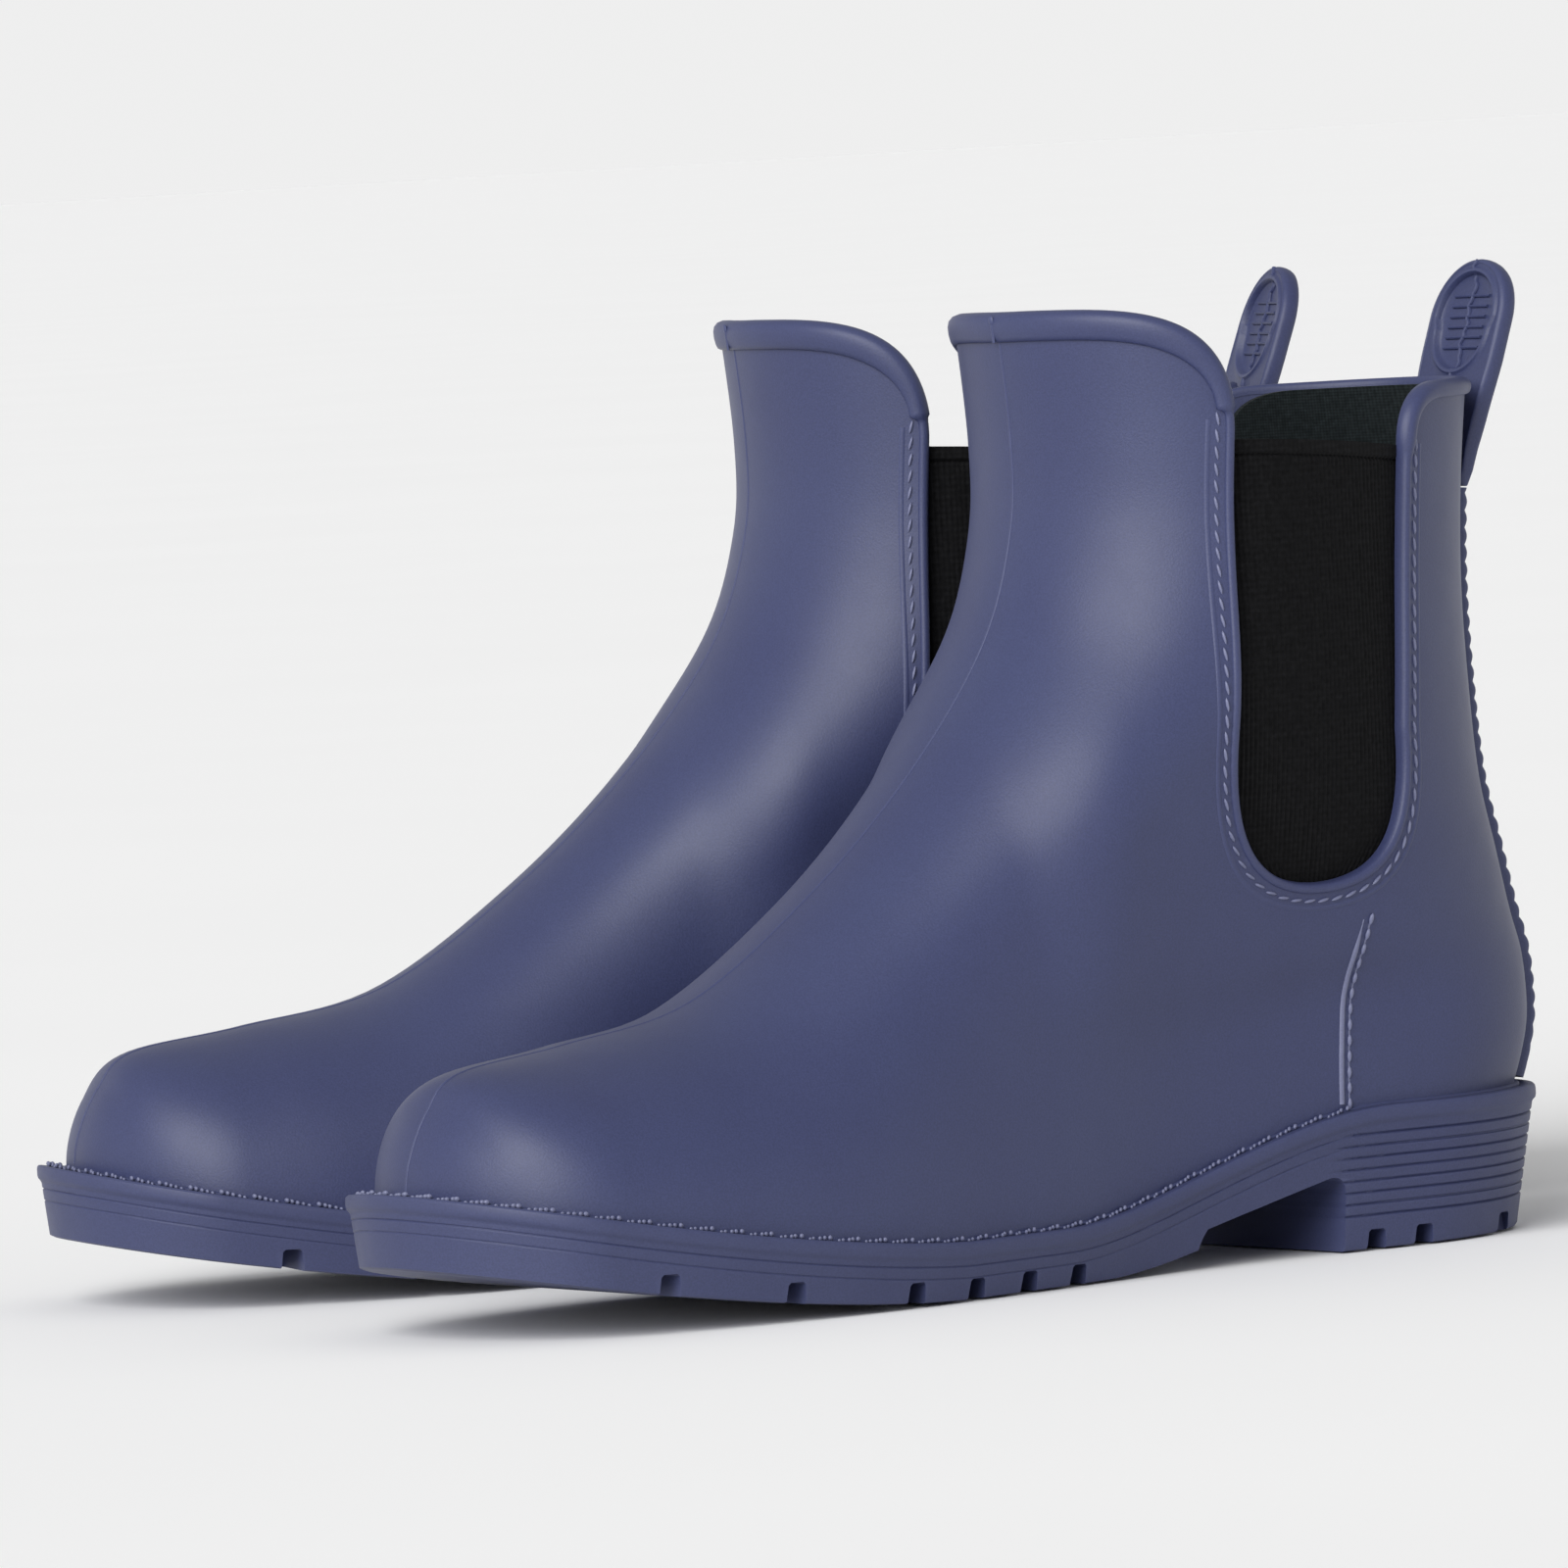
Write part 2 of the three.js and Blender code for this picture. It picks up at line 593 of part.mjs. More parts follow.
/** Row of stitching round a gore, laid on the shell as one thread. */
function goreThread(side) {
  const line = new THREE.Path();
  const start = GORE_TOP.front + THREAD.above;
  line.moveTo(goreEdgeAt(start, true, THREAD.edge), start);
  addGoreEdge(line, THREAD.edge);
  line.lineTo(goreEdgeAt(GORE_TOP.rear, false, THREAD.edge), GORE_TOP.rear);
  const radius = THREAD.diameter / 2;
  const path = line.getSpacedPoints(THREAD.steps).map(({ x: p, y: z }) => {
    const { point, normal } = skinFromSide(p, z - CLEARANCE, side);
    point.z += CLEARANCE;
    return point.addScaledVector(normal, radius + CLEARANCE);
  });
  const section = new THREE.Shape();
  for (let k = 0; k < THREAD.sides; k += 1) {
    const angle = (2 * Math.PI * k) / THREAD.sides;
    const corner = [radius * Math.cos(angle), radius * Math.sin(angle)];
    if (k === 0) section.moveTo(...corner);
    else section.lineTo(...corner);
  }
  return facingOut(geometryIndexed(new THREE.ExtrudeGeometry(section, {
    steps: THREAD.steps, bevelEnabled: false, extrudePath: new THREE.CatmullRomCurve3(path),
  })));
}

const STAY_TOP = RIM.back - STAY.belowRim;

/** Raised strip that covers the back seam, from the sole to the pull tab. */
function backStay() {
  const rings = [];
  const levelOf = (z) => solve((v) => skin(v, 0, 1).z, z - CLEARANCE, 0, TOP_RING);
  const [low, high] = [levelOf(SOLE.heelHeight + STAY.aboveSeat), levelOf(STAY_TOP)];
  for (const u of [low, ...WALL_LEVELS.filter((level) => level > low && level < high), high]) {
    const z = skin(u, 0, 1).z + CLEARANCE;
    const inner = [];
    const outer = [];
    for (let c = 0; c <= STAY.columns; c += 1) {
      const x = lerp(-STAY.halfWidth, STAY.halfWidth, c / STAY.columns);
      const side = x < 0 ? -1 : 1;
      const phi = solve((a) => Math.abs(skin(u, a, side).x), Math.abs(x), 0, Math.PI / 2);
      inner.push(skinAt(u, phi, side, -STAY.gap).setZ(z));
      outer.push(skinAt(u, phi, side, -CLEARANCE - STAY.thickness).setZ(z));
    }
    rings.push([...outer, ...inner.reverse()]);
  }
  return stack(rings);
}

/** Root of the pull tab in the side view: the rear lower edge of the strap. */
function tabRoot() {
  const u = solve((v) => skin(v, 0, 1).z, STAY_TOP, 0, TOP_RING);
  const back = -skin(u, 0, 1).y;
  return { p: back - 2 * CLEARANCE - TAB.thickness, z: STAY_TOP + TAB.rootGap };
}

/** Strap with a round top; its centre line leans back more and more. */
function pullTab() {
  const root = tabRoot();
  const rings = [];
  let p = root.p + TAB.thickness / 2;
  let z = root.z;
  let previous = 0;
  for (let k = 0; k <= TAB.stations; k += 1) {
    const along = TAB.length * Math.sin((k / TAB.stations) * (Math.PI / 2));
    const slope = lerp(TAB.lean[0], TAB.lean[1], Math.min(1, along / (TAB.length * TAB.leanRun)));
    const run = along - previous;
    const norm = Math.hypot(1, slope);
    p -= (run * slope) / norm;
    z += run / norm;
    previous = along;
    const crown = endRound(TAB.length - along, TAB.halfWidth);
    const widening = smooth(along, 0, TAB.length * TAB.widenRun);
    const half = lerp(TAB.rootHalfWidth, TAB.halfWidth, widening) * Math.max(crown, TAB.tip);
    const t = TAB.thickness / 2;
    const offset = [t / norm, (t * slope) / norm]; // front side of the leaning strap
    if (k === 0) offset[1] = 0;
    rings.push([
      new THREE.Vector3(half, -(p + offset[0]), z + offset[1]),
      new THREE.Vector3(half, -(p - offset[0]), z - offset[1]),
      new THREE.Vector3(-half, -(p - offset[0]), z - offset[1]),
      new THREE.Vector3(-half, -(p + offset[0]), z + offset[1]),
    ]);
  }
  return stack(rings);
}

// ---------------------------------------------------------------- assembly
function material(colour, roughness) {
  return new THREE.MeshStandardMaterial({ color: colour, roughness, metalness: 0 });
}

const MATERIALS = {
  shell: material(COLOURS.shell, 0.48),
  sole: material(COLOURS.sole, 0.55),
  lining: material(COLOURS.lining, 0.95),
  elastic: material(COLOURS.elastic, 0.9),
  thread: material(COLOURS.thread, 0.5),
  foam: material(COLOURS.foam, 0.9),
  board: material(COLOURS.board, 0.85),
};

const boardLow = CLEARANCE;
const boardHigh = boardLow + BOARD.thickness;
const gores = gorePanels();
const PIECES = [
  ['upper_shell', upperShell(), 'shell'],
  ['outsole', outsole(), 'sole'],
  ['welt', welt(), 'sole'],
  ['gore_lateral', gores.lateral, 'elastic'],
  ['gore_medial', gores.medial, 'elastic'],
  ['gore_thread_lateral', goreThread(1), 'thread'],
  ['gore_thread_medial', goreThread(-1), 'thread'],
  ['pull_tab', pullTab(), 'shell'],
  ['back_stay', backStay(), 'shell'],
  ['lining', lining(), 'lining'],
  ['insole_board', insideSlab(boardLow, boardHigh), 'board'],
  ['footbed', insideSlab(boardHigh + CLEARANCE, boardHigh + CLEARANCE + FOOTBED.thickness), 'foam'],
  ['heel_filler', heelFiller(), 'board'],
];

/** One boot of the pair: side 1 is the left boot, -1 the right boot, its mirror image. */
function boot(prefix, side) {
  const group = new THREE.Group();
  for (const [name, geometry, finish] of PIECES) {
    const mesh = new THREE.Mesh(geometry, MATERIALS[finish]);
    mesh.name = `${prefix}_${name}`;
    mesh.position.y = (SOLE.heel + SOLE.toe) / 2;
    group.add(mesh);
  }
  group.scale.x = side;
  group.rotation.z = side * THREE.MathUtils.degToRad(PAIR.splayDeg);
  group.position.set((side * PAIR.spacing) / 2, (side * PAIR.stagger) / 2, 0);
  return group;
}

const pair = new THREE.Group();
pair.add(boot('left', 1), boot('right', -1));
pair.updateMatrixWorld(true);
const box = new THREE.Box3().setFromObject(pair, true);
const centre = box.getCenter(new THREE.Vector3());
pair.position.set(-centre.x, -centre.y, -box.min.z);

export default pair;
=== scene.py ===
import math

import bpy
import numpy as np
from mathutils import Matrix, Vector


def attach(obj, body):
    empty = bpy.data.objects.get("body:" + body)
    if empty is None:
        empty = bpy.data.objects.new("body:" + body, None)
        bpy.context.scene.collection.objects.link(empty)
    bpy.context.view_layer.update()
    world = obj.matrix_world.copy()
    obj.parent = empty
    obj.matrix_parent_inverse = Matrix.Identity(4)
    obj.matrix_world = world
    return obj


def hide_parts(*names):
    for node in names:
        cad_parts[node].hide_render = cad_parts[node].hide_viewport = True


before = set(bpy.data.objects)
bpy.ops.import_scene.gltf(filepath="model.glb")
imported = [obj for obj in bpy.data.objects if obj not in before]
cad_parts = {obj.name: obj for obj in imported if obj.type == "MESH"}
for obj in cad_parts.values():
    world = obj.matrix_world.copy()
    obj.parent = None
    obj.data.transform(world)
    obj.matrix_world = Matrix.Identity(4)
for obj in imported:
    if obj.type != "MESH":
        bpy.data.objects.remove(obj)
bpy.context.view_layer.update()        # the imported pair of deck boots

MM = 0.001

# Sizes in millimetres. A boot's own axes: x lateral, p forward from the heel, z up from the ground.
PAIR = dict(spacing=112.9, splay=math.radians(7.65), stagger=6.9, middle=134, centring=-3.878)
SOLE = dict(heel=-2, toe=270, heel_height=28.6, ball=11.3, toe_thick=14.2, spring=14.8,
            spring_start=160, slope_start=50, slope_end=135, lip=3, lip_step=0.75,
            taper_heel=4.9, taper_toe=1.8)
ARCH = dict(front=98.3, rise=3.7, step=4, top=15.2, corner=4, taper=30, breast=62,
            step_run=2.2, step_bend=(0.8, 2.5), shank_bend=(82, 11.2))
LUG = dict(width=4.4, height=4.2, depth=12, places=(230.5, 203.5, 175, 159.3, 145, 131.4))
HEEL_LUG = dict(width=4.6, height=4, depth=9, places=(54.2, 42.6, 18))
# The sole's half width at places along it, on each side.
LATERAL = ((0, 34), (38, 34.4), (78, 33.2), (105, 34), (140, 40.5), (180, 46.5), (215, 45.5),
           (250, 39.5), (280, 34))
MEDIAL = ((0, 34), (36, 33.6), (70, 30), (98, 28.5), (135, 34), (185, 45.5), (215, 45),
          (250, 38), (280, 33))
TOE_RUN, HEEL_RUN = 27, 40
# Rows over the sole's lip and the welt: inset from the sole's outline, and drop or height.
LIP_PROFILE = ((0.5, 3.2), (0.12, 2.8), (0, 2.2), (0, 1.0), (0.1, 0.45), (0.4, 0.1), (0.9, 0),
               (2.2, 0.02), (3.0, 0.5), (9, 0.6))
WELT_PROFILE = ((2.9, 0.2), (2.9, 0.75), (3.3, 1.05), (4.3, 1.15), (7.5, 1.2), (7.5, 0.1))
UPPER = dict(toe=264, inset=3.4, wall=2.4, power=2.2)
SHAFT = dict(front=111.8, flare=2.6, back=8.7, half=44.5, front_round=40, back_round=75)
RIM = dict(front=190.8, back=172, corner=27, fall=24, back_corner=13, allowance=8, inner_depth=2.55)
INSTEP = 147             # height at which the front of the foot turns into the shaft
GORE = dict(front=86.4, front_low=90.5, rear=41.5, rear_low=46.5, low=104, bottom=74.2,
            top_front=164.4, top_rear=160, belly=1, foot_share=0.3, lap=4, depth=2.7, thickness=1.5,
            hem=2.5, rib=1.15, arch=0.6)
HEM = dict(proud=0.4, edge=0.3, seam_drop=0.5, seam_depth=0.55, seam_width=0.35, rib_depth=0.15)
LINING = dict(depth=2.7, thickness=1.2, drop=0.6, grow=4.6)
TAB = dict(thickness=3.6, half=12.5, root_half=9, length=47.5, lean=(0.12, 0.36), root=150.3)
BED = dict(depth=4.6, spine_heel=26, spine_toe=30, cup=0.7, cup_place=35, cup_length=26)
# Rows over the footbed: share of the way in to its spine, height over the seat.
BED_ROWS = ((0.6, 2.7), (0.03, 2.7), (0, 3.4), (0, 5.2), (0.015, 6.2), (0.05, 6.7), (0.1, 6.75),
            (0.2, 6.4), (0.35, 6.0), (0.55, 5.75), (0.75, 5.65), (0.93, 5.6))
WELT_BEADS = dict(pitch=6.5, count=5, spacing=1.16, size=0.52)
RECESS = dict(low=32.3, high=35, low_half=8.3, high_half=9.2, ribs=6, first_rib=39.6, rib_pitch=2.2,
              arc_share=0.42)
# Rows over the tab's face, each with its height over it. Border: distance in from the tab's edge.
# Lip: distance out from the recess. Floor: share of the way to the spine.
TAB_BORDER = ((0, -1.45), (0.1, -0.85), (0.35, -0.3), (0.8, 0), (1.05, 0.08), (1.3, -0.1))
TAB_LIP = ((1.5, -0.1), (1.25, 0.08), (0.95, 0.4), (0.4, 0.4), (0.1, 0.1))
TAB_FLOOR = ((0.02, -0.7), (0.09, -1.1), (0.4, -1.15), (0.75, -1.1), (0.97, -1.05))
STAY = dict(low=30.5, high=150.1, pitch=3.5, groove=0.5, step=0.35, slant=0.05, sunk=0.9,
            fade_in=(31, 46), rope=(9.7, 9.0))
STAY_HALF = ((0, 3.1), (1.8, 3.1), (3.6, 3.1), (5.4, 3.1), (7.2, 3.1), (8.6, 3.0), (9.2, 2.6),
             (9.55, 1.7), (9.7, -0.5))
# Foot rings: share of the toe's run, of the instep's rise, bulge behind in mm, share of the back's height.
RING_SHAPE = ((1, 0, 6, 0), (.991, .062, 8.6, .045), (.961, .138, 10.4, .092),
              (.91, .196, 10.6, .142), (.75, .226, 9.8, .195), (.553, .275, 7.5, .252),
              (.353, .437, 4.6, .34), (.19, .62, 1.3, .44), (.065, .818, -.2, .57),
              (.01, 1, -.6, .715))
LAST_FOOT_RING = 9
# Where along the rings the skin changes from foot to shaft.
SKIN = dict(sag_end=7.5, sag_power=1.3, shaft=(3, 8.5), front_turn=(4.5, 8.5), vamp_blend=24)
HALVINGS = 36            # bisection steps when a height is looked up on the skin

# Small moulded details. Pairs in ovals are (half width, half height).
RIM_BAND = dict(step=0.7, split=64, front=(169.8, 170.8), back=(157, 163), back_share=0.85,
                front_narrow=(172, 189), front_width=0.62, back_width=0.52,
                behind_tab=40, tab_gap=(12.6, 14.6))
STITCH = dict(grow=3.0, groove_grow=4.6, top=168.5, rear=160.5, pitch=3.3, lift=0.1, slant=0.22,
              size=(1.45, 0.34, 0.42), groove=(0.55, 0.16), groove_step=1.2)
PARTING = dict(start=0.3, below_rim=5, end=0.6, step=1.2, oval=(0.32, 0.17), band_lift=1.22,
               band_oval=(0.4, 0.28), nick=(1.1, 0.8, 0.4))
SEAM = dict(path=((57.3, 66.5), (60.6, 48), (61.2, 29.6)), behind=1.75, step=0.9, tip=0.25,
            ridge=(0.6, 0.42), base=(0.2, 0.055), dash_pitch=3.0, dash_lift=0.18,
            dash=(1.25, 0.5, 0.42))
TAB_SEAM = dict(start=10, end_gap=0.5, count=60, oval=(0.5, 0.48), waves=((0.4, 0.8), (0.25, 2.3)),
                jitter=0.16, sunk=0.1, recess_sunk=1.0)
TAB_RIB = dict(half=5.9, count=14, oval=(0.36, 0.62), sunk=1.15)
SOLE_LINES = dict(heel_top=23.4, heel_pitch=2.35, heel_count=8, heel_depth=0.5, heel_width=0.22,
                  heel_end=(60, 68), fore=((4.5, 0.24), (6.9, 0.2)), fore_width=0.16,
                  under_lip=(3.6, 4.6))
CHANNEL = dict(inset=2.55, height=0.62, seam=63, jitter=0.14, zigzag=0.16, rise=0.24,
               shrink=0.06, slant=0.7)

# Angles in degrees. The world's brightness fades between two heights, 0 level and 1 straight up.
CAMERA = dict(azimuth=64.19, elevation=2.66, roll=-3.28, target=(6.08, -9.85, 98.84),
              distance=2922.29, lens=332.75, sensor=36, far_clip=200)
KEY_LIGHT = dict(azimuth=33, elevation=30, strength=3.0, angle=48)
WORLD = dict(horizon=0.86, ceiling=0.4, fade_start=0.08, fade_end=0.5)
FLOOR = dict(half=60, drop=0.0004)      # metres

# Noise scales, in cycles per metre.
PVC_NOISE = dict(mottle=22, speck=2600, gloss=140, waves=60, grain=2300)
CLOTH_NOISE = dict(tone=900, gloss=300, fuzz=2200)
BOARD_NOISE = dict(tone=700, gloss=90, fibre=1200)


# ------------------------------------------------------------------ camera, light and floor
def direction(azimuth, elevation):
    """Unit vector at an azimuth, from -Y towards +X, and an elevation, both in degrees."""
    a, e = math.radians(azimuth), math.radians(elevation)
    return Vector((math.sin(a) * math.cos(e), -math.cos(a) * math.cos(e), math.sin(e)))


def make_camera():
    """Camera at the photograph's viewing angle, from the fit of the pair's sizes to the photograph."""
    roll = math.radians(CAMERA["roll"])
    back = direction(CAMERA["azimuth"], CAMERA["elevation"])
    level = (-back).cross(Vector((0, 0, 1))).normalized()
    upright = level.cross(-back)
    right = level * math.cos(roll) + upright * math.sin(roll)
    up = upright * math.cos(roll) - level * math.sin(roll)
    data = bpy.data.cameras.new("camera")
    data.lens = CAMERA["lens"]
    data.sensor_width = CAMERA["sensor"]
    data.clip_end = CAMERA["far_clip"]
    place = (Vector(CAMERA["target"]) + back * CAMERA["distance"]) * MM
    camera = bpy.data.objects.new("camera", data)
    turned = Matrix((right, up, back)).transposed().to_4x4()
    camera.matrix_world = Matrix.Translation(place) @ turned
    bpy.context.scene.collection.objects.link(camera)
    bpy.context.scene.camera = camera


def make_key_light():
    """Soft sun from the toes' side."""
    data = bpy.data.lights.new("key", "SUN")
    data.energy = KEY_LIGHT["strength"]
    data.angle = math.radians(KEY_LIGHT["angle"])
    lamp = bpy.data.objects.new("key", data)
    towards = direction(KEY_LIGHT["azimuth"], KEY_LIGHT["elevation"])
    lamp.rotation_euler = towards.to_track_quat("Z", "Y").to_euler()
    bpy.context.scene.collection.objects.link(lamp)


def make_world():
    """White room that is brightest at the horizon."""
    world = bpy.data.worlds.new("studio")
    world.use_nodes = True
    tree = world.node_tree
    tree.nodes["Background"].inputs["Color"].default_value = (1, 1, 1, 1)
    split = tree.nodes.new("ShaderNodeSeparateXYZ")
    tree.links.new(tree.nodes.new("ShaderNodeTexCoord").outputs["Generated"], split.inputs["Vector"])
    fade = tree.nodes.new("ShaderNodeMapRange")
    fade.inputs["From Min"].default_value = WORLD["fade_start"]
    fade.inputs["From Max"].default_value = WORLD["fade_end"]
    fade.inputs["To Min"].default_value = WORLD["horizon"]
    fade.inputs["To Max"].default_value = WORLD["ceiling"]
    tree.links.new(split.outputs["Z"], fade.inputs["Value"])
    tree.links.new(fade.outputs["Result"], tree.nodes["Background"].inputs["Strength"])
    bpy.context.scene.world = world
    bpy.context.scene.view_settings.view_transform = "Standard"


def make_floor():
    half = FLOOR["half"]
    mesh = bpy.data.meshes.new("floor")
    corners = [(-half, -half, 0), (half, -half, 0), (half, half, 0), (-half, half, 0)]
    mesh.from_pydata(corners, [], [(0, 1, 2, 3)])
    floor = bpy.data.objects.new("floor", mesh)
    floor.location.z = -FLOOR["drop"]
    floor.data.materials.append(floor_material())
    bpy.context.scene.collection.objects.link(floor)


# ------------------------------------------------------------------ materials
def node_material(name):
    material = bpy.data.materials.new(name)
    material.use_nodes = True
    return material, material.node_tree, material.node_tree.nodes["Principled BSDF"]


def noise(tree, scale, detail=3, roughness=0.55):
    """Noise of a scale in cycles per metre."""
    place = tree.nodes.new("ShaderNodeTexCoord")
    texture = tree.nodes.new("ShaderNodeTexNoise")
    texture.inputs["Scale"].default_value = scale
    texture.inputs["Detail"].default_value = detail
    texture.inputs["Roughness"].default_value = roughness
    tree.links.new(place.outputs["Object"], texture.inputs["Vector"])
    return texture.outputs["Fac"]


def ramp(tree, value, stops):
    """Colour ramp from (position, colour) stops."""
    node = tree.nodes.new("ShaderNodeValToRGB")
    elements = node.color_ramp.elements
    for k, (position, colour) in enumerate(stops):
        element = elements[k] if k < 2 else elements.new(position)
        element.position = position
        element.color = (*colour, 1)
    tree.links.new(value, node.inputs["Fac"])
    return node.outputs["Color"]


def mapped(tree, value, low, high):
    node = tree.nodes.new("ShaderNodeMapRange")
    node.inputs["To Min"].default_value = low
    node.inputs["To Max"].default_value = high
    tree.links.new(value, node.inputs["Value"])
    return node.outputs["Result"]


def bump(tree, shader, layers):
    """Stacks (height, strength, distance in mm) layers into the shader's normal."""
    previous = None
    for height, strength, distance in layers:
        node = tree.nodes.new("ShaderNodeBump")
        node.inputs["Strength"].default_value = strength
        node.inputs["Distance"].default_value = distance * MM
        tree.links.new(height, node.inputs["Height"])
        if previous:
            tree.links.new(previous, node.inputs["Normal"])
        previous = node.outputs["Normal"]
    tree.links.new(previous, shader.inputs["Normal"])


def mixed(tree, factor, first, second, mode="MIX"):
    node = tree.nodes.new("ShaderNodeMix")
    node.data_type = "RGBA"
    node.blend_type = mode
    for socket, value in ((node.inputs[0], factor), (node.inputs[6], first), (node.inputs[7], second)):
        if isinstance(value, bpy.types.NodeSocket):
            tree.links.new(value, socket)
        else:
            socket.default_value = (*value, 1) if isinstance(value, tuple) else value
    return node.outputs[2]


def pvc_material(name, dark, light, rough, grain):
    """Moulded satin PVC: faint mottling, a fine grain, paler rubbed edges."""
    material, tree, shader = node_material(name)
    mottle = ramp(tree, noise(tree, PVC_NOISE["mottle"], 4), ((0.3, dark), (0.7, light)))
    speck = ramp(tree, noise(tree, PVC_NOISE["speck"], 2),
                 ((0.35, (0.9, 0.9, 0.9)), (0.65, (1.1, 1.1, 1.1))))
    coloured = mixed(tree, 1.0, mottle, speck, "MULTIPLY")
    edge = tree.nodes.new("ShaderNodeNewGeometry").outputs["Pointiness"]
    rubbed = ramp(tree, edge, ((0.51, (0, 0, 0)), (0.6, (0.45, 0.45, 0.45))))
    pale = tuple(min(1, c * 1.35 + 0.01) for c in light)
    tree.links.new(mixed(tree, rubbed, coloured, pale), shader.inputs["Base Color"])
    tree.links.new(mapped(tree, noise(tree, PVC_NOISE["gloss"], 3), *rough), shader.inputs["Roughness"])
    shader.inputs["Specular IOR Level"].default_value = 0.42
    bump(tree, shader, ((noise(tree, PVC_NOISE["waves"], 2), 0.12, 0.35),
                        (noise(tree, PVC_NOISE["grain"], 2), grain, 0.05)))
    return material


def weave(tree, pitch, axis):
    """Bands a pitch apart, in metres, along one axis. A wave texture of scale 1 repeats every 0.314 m."""
    place = tree.nodes.new("ShaderNodeTexCoord")
    wave = tree.nodes.new("ShaderNodeTexWave")
    wave.bands_direction = axis
    wave.inputs["Scale"].default_value = 0.314159 / pitch
    wave.inputs["Distortion"].default_value = 0.6
    wave.inputs["Detail Scale"].default_value = 40
    tree.links.new(place.outputs["Object"], wave.inputs["Vector"])
    return wave.outputs["Fac"]


def fabric_material(name, dark, light, pitch, rough, sheen):
    """Woven or knitted cloth: crossing yarns, fuzz and a little sheen."""
    material, tree, shader = node_material(name)
    along, across = weave(tree, pitch, "Y"), weave(tree, pitch * 1.2, "Z")
    yarns = mixed(tree, 0.5, along, across)
    tone = ramp(tree, noise(tree, CLOTH_NOISE["tone"], 4), ((0.35, dark), (0.72, light)))
    threads = ramp(tree, yarns, ((0.2, (0.6, 0.6, 0.6)), (0.75, (1.2, 1.2, 1.2))))
    tree.links.new(mixed(tree, 1.0, tone, threads, "MULTIPLY"), shader.inputs["Base Color"])
    tree.links.new(mapped(tree, noise(tree, CLOTH_NOISE["gloss"], 2), *rough), shader.inputs["Roughness"])
    shader.inputs["Sheen Weight"].default_value = sheen
    shader.inputs["Sheen Roughness"].default_value = 0.5
    shader.inputs["Specular IOR Level"].default_value = 0.14
    bump(tree, shader, ((yarns, 0.5, 0.18), (noise(tree, CLOTH_NOISE["fuzz"], 3), 0.35, 0.1)))
    return material


def board_material():
    """Pressed fibre board."""
    material, tree, shader = node_material("fibre_board")
    fibres = ramp(tree, noise(tree, BOARD_NOISE["tone"], 6),
                  ((0.3, (0.2, 0.15, 0.1)), (0.7, (0.4, 0.33, 0.24))))
    tree.links.new(fibres, shader.inputs["Base Color"])
    tree.links.new(mapped(tree, noise(tree, BOARD_NOISE["gloss"], 3), 0.7, 0.9), shader.inputs["Roughness"])
    bump(tree, shader, ((noise(tree, BOARD_NOISE["fibre"], 4), 0.4, 0.15),))
    return material


def floor_material():
    material, tree, shader = node_material("floor")
    tone = ramp(tree, noise(tree, 3, 2), ((0.3, (0.945, 0.945, 0.945)), (0.7, (0.955, 0.955, 0.955))))
    tree.links.new(tone, shader.inputs["Base Color"])
    shader.inputs["Roughness"].default_value = 0.9
    shader.inputs["Specular IOR Level"].default_value = 0.1
    return material


MATERIALS = {
    "shell": pvc_material("pvc_shell", (0.035, 0.042, 0.109), (0.040, 0.049, 0.120), (0.42, 0.5), 0.8),
    "sole": pvc_material("pvc_sole", (0.036, 0.043, 0.108), (0.042, 0.050, 0.118), (0.46, 0.6), 0.5),
    # Paler PVC for stitches: the gore thread's own lighter colour, and a painted highlight on the moulded
    # side seam and welt stitches.
    "thread": pvc_material("pvc_stitches_and_painted_highlight", (0.095, 0.105, 0.185), (0.15, 0.16, 0.26), (0.3, 0.42), 0.2),
    "elastic": fabric_material("black_elastic", (0.0015, 0.0015, 0.002), (0.006, 0.006, 0.007), 0.0011,
                               (0.8, 0.95), 0.03),
    "lining": fabric_material("textile_lining", (0.006, 0.009, 0.010), (0.014, 0.019, 0.021), 0.0005,
                              (0.85, 1.0), 0.08),
    "foam": fabric_material("footbed_textile", (0.03, 0.034, 0.04), (0.06, 0.066, 0.075), 0.0012,
                            (0.8, 0.95), 0.3),
    "board": board_material(),
}


# ------------------------------------------------------------------ the upper's skin
def smooth(v, low, high):
    t = np.clip((v - low) / (high - low), 0, 1)
    return t * t * (3 - 2 * t)


def lerp(a, b, t):
    return a + (b - a) * t


def end_round(distance, run):
    """Elliptic rounding: 0 at distance 0, 1 from run onwards."""
    k = np.clip(1 - distance / run, 0, 1)
    return np.sqrt(1 - k * k)


def spline(rows, u):
    """Catmull-Rom through rows at row index u."""
    rows = np.asarray(rows, float)
    last = len(rows) - 1
    u = np.asarray(u, float)
    i = np.clip(np.floor(u).astype(int), 0, last - 1)
    t = (u - i)[..., None]
    a, b, c, d = (rows[np.clip(i + k, 0, last)] for k in (-1, 0, 1, 2))
    ease = 3 * t ** 2 - 2 * t ** 3
    leave, arrive = t ** 3 - 2 * t ** 2 + t, t ** 3 - t ** 2
    return (1 - ease) * b + ease * c + leave * (c - a) / 2 + arrive * (d - b) / 2


def curve_at(pairs, v):
    places, values = np.array(pairs, float).T
    return spline(values[:, None], np.interp(v, places, np.arange(len(places))))[..., 0]


def spring_share(p):
    return np.maximum(0, (p - SOLE["spring_start"]) / (SOLE["toe"] - SOLE["spring_start"]))


def ground_line(p):
    return SOLE["spring"] * spring_share(p) ** 1.6


def seat(p):
    """Height of the sole's top."""
    fall = (SOLE["heel_height"] - SOLE["ball"]) * smooth(p, SOLE["slope_start"], SOLE["slope_end"])
    thicker = (SOLE["toe_thick"] - SOLE["ball"]) * spring_share(p)
    return SOLE["heel_height"] - fall + ground_line(p) + thicker


